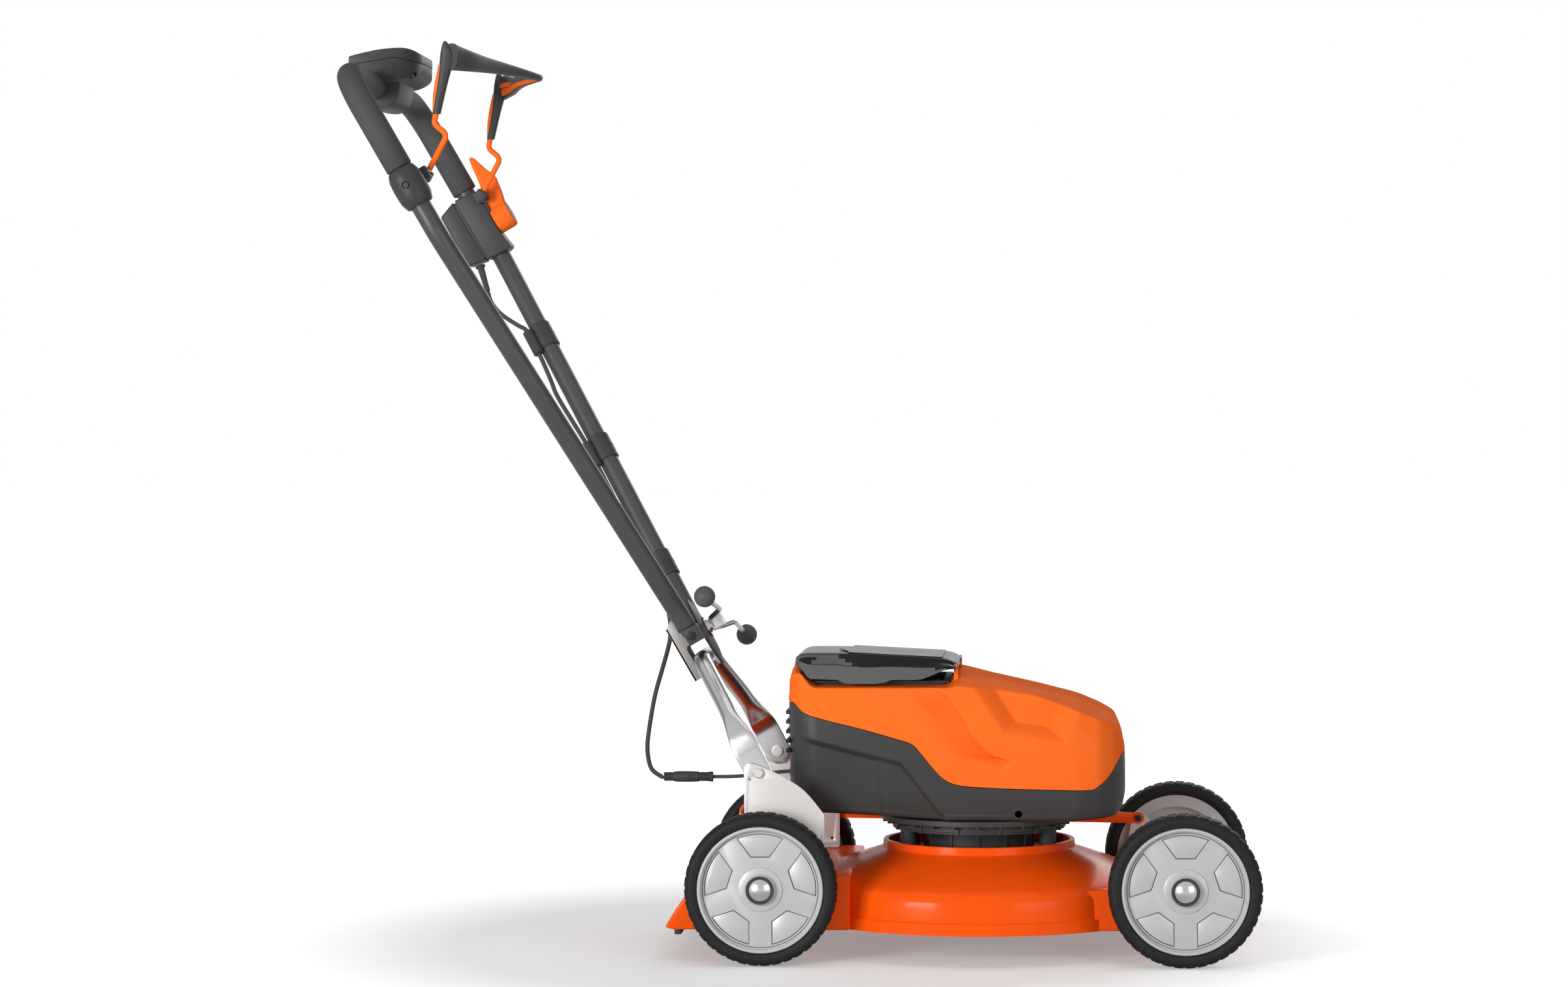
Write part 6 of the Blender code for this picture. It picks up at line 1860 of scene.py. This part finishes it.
@dataclass
class Bail:
    """The hold-down bail: foot blocks, bent wire, dark cover and its orange lining."""

    wire_radius: float = 0.0040

    START = (0.0296, BAIL_PLANE_Y, 0.0881)
    JOG = ((-0.4243, BAIL_PLANE_Y, 1.1392), (-0.4429, BAIL_PLANE_Y, 1.1541))
    CORNER = (-0.4230, BAIL_PLANE_Y, 1.2470)
    APEX = (-0.3300, 0.0, 1.2372)
    LEG = ((-0.4390, 1.1675, 0.0056), (-0.4345, 1.1900, 0.0064), (-0.4300, 1.2120, 0.0074),
           (-0.4255, 1.2350, 0.0092), (-0.4243, 1.2500, 0.0088), (-0.4258, 1.2610, 0.0050),
           (-0.4266, 1.2665, 0.0016))
    BAR = ((-0.4185, 0.2520, 1.2450, 0.0185), (-0.4120, 0.2350, 1.2440, 0.0165),
           (-0.3985, 0.2000, 1.2425, 0.0135), (-0.3845, 0.1500, 1.2420, 0.0105),
           (-0.3682, 0.1000, 1.2413, 0.0084), (-0.3472, 0.0450, 1.2390, 0.0062),
           (-0.3345, 0.0120, 1.2372, 0.0048), (-0.3325, 0.0, 1.2370, 0.0047))

    def feet(self) -> None:
        """Make the two foot blocks with their pins."""
        x, s = BAIL_PIVOT
        foot = [(0.0251, 0.0946), (0.0332, 0.0809), (0.0206, 0.0731), (0.0160, 0.0800), (0.0170, 0.0914)]
        for side, label in SIDES:
            low, high = sorted((side * 0.2415, side * 0.2560))
            body = rounded(slab(foot, low, high), 0.0015, 3, 25.0)
            pin = cross_bar((x, s), side * 0.2540, side * 0.2690, 0.0040)
            piece(f"foot_block_{label}", moved(gathered([body, pin]), HANDLE), DARK_MOULD,
                  Ride("bail", "black_plastic", (f"bail_foot_{label}",)))

    def wire(self) -> None:
        """Make the bent wire."""
        start = on_handle(*self.START)
        path = filleted(both_sides([start, *self.JOG, self.CORNER, self.APEX]),
                        [0.010, 0.010, 0.010, 0.10, 0.010, 0.010, 0.010], 12)
        piece("bail_rod", pipe(path, self.wire_radius, 24), ORANGE_MOULD,
              Ride("bail", "orange_coat", ("bail_wire",)), 50.0)

    @staticmethod
    def oval(centre: Vector, wide: Vector, thin: Vector, sides: int = 28) -> list[Vector]:
        """A soft-cornered oval about a centre, on two half-axes."""
        ring = []
        for i in range(sides):
            c, s = math.cos(2.0 * math.pi * i / sides), math.sin(2.0 * math.pi * i / sides)
            ring.append(centre + wide * math.copysign(abs(c) ** 0.7, c)
                        + thin * math.copysign(abs(s) ** 0.8, s))
        return ring

    def cover(self) -> None:
        """Make the flattened cover, pointed at its corners, and its orange lining."""
        shells, strips = [], []
        leg = curve_through(self.LEG, 6)
        for side in (-1.0, 1.0):
            rings, strip = [], []
            for x, z, half in leg:
                centre = Vector((x, side * BAIL_PLANE_Y, z))
                rings.append(self.oval(centre, Vector((half, 0.0, 0.06 * half)), Vector((0.0, 0.0068, 0.0))))
                swell = math.sin(math.pi * min(1.0, max(0.0, (z - 1.1690) / 0.0700)))
                if 0.08 < swell:
                    rear = centre - Vector((half - 0.0016, 0.0, 0.0))
                    strip.append(self.oval(rear, Vector((0.0018 + 0.0034 * swell, 0.0, 0.0)),
                                           Vector((0.0, 0.0050, 0.0)), 16))
            shells.append(lofted(rings))
            strips.append(lofted(strip))
        half = curve_through(self.BAR, 5)
        whole = [*half, *[Vector((p[0], -p[1], p[2], p[3])) for p in reversed(half[:-1])]]
        rings = []
        for x, y, z, tall in whole:
            deep = 0.0050 + 0.24 * tall
            rings.append(self.oval(Vector((x, y, z)), Vector((deep, 0.0, 0.0)),
                                   Vector((0.10 * tall, 0.0, tall))))
        shells.append(lofted(rings))
        for side in (-1.0, 1.0):
            strip = []
            for x, y, z, tall in half[6:-4]:
                rear = Vector((x - 0.0042 - 0.20 * tall, side * y, z - 0.45 * tall))
                strip.append(self.oval(rear, Vector((0.0028, 0.0, 0.0)),
                                       Vector((0.0, 0.0, 0.0010 + 0.30 * tall)), 16))
            strips.append(lofted(strip))
        piece("bail_sleeve", gathered(shells), DARK_MOULD,
              Ride("bail", "black_plastic", ("bail_cover",)), 40.0)
        piece("bail_lining", gathered(strips), ORANGE_MOULD, Ride("bail", "orange_plastic"), 40.0)

    def build(self) -> None:
        """Make the whole bail."""
        self.feet()
        self.wire()
        self.cover()


@dataclass
class BladeTrain:
    """Blade, hub and bolt under the deck."""

    half_length: float = 0.235
    half_width: float = 0.0275

    def build(self) -> None:
        """Make the sharpened blade."""
        length, width = self.half_length, self.half_width
        half = [(-width, 0.0), (-width, length - 0.020), (-width + 0.020, length), (width, length),
                (width, 0.0)]
        outline = half + [(-x, -y) for x, y in half[1:-1]]
        plate = slab(outline, -0.0020, 0.0020, [circle((0.0, 0.0), 0.0062)])
        place = Matrix.Translation((*DECK_CENTRE, 0.056)) @ Matrix.Rotation(math.pi / 2.0, 4, "X")
        piece("cutting_blade", moved(rounded(plate, 0.0008, 2), place), DARK_STEEL,
              Ride("blade", "dark_steel", ("blade",)))


def dress_nodes(frame: dict) -> None:
    """Give every shown CAD node the finish of its material slot.
    """
    slots = {part["node"]: part["material_slot"] for part in frame["record"]["subparts"]}
    for name, obj in frame["nodes"].items():
        material = SLOT_FINISH[slots[name]].material()
        for slot in obj.material_slots:
            slot.material = material
        LOG.info("%s keeps its solid with %s", name, material.name)


def main() -> None:
    """Build the scene in order: studio, cords, then every sub-assembly."""
    logging.basicConfig(level=logging.INFO, format="%(message)s")
    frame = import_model()
    Studio().build()
    Cords().build()
    dress_nodes(frame)
    for end, x in (("front", WHEELBASE), ("rear", 0.0)):
        for sign, side in SIDES:
            Wheel(end, x, side, sign).build()
    for assembly in (Deck(), Motor(), Housing(), BatteryLid(), Brackets(), HeightGear(), LowerHandle(),
                     FoldClamp(), UpperHandle(), HandleFittings(), Bail(), BladeTrain()):
        assembly.build()


if __name__ == "__main__":
    main()
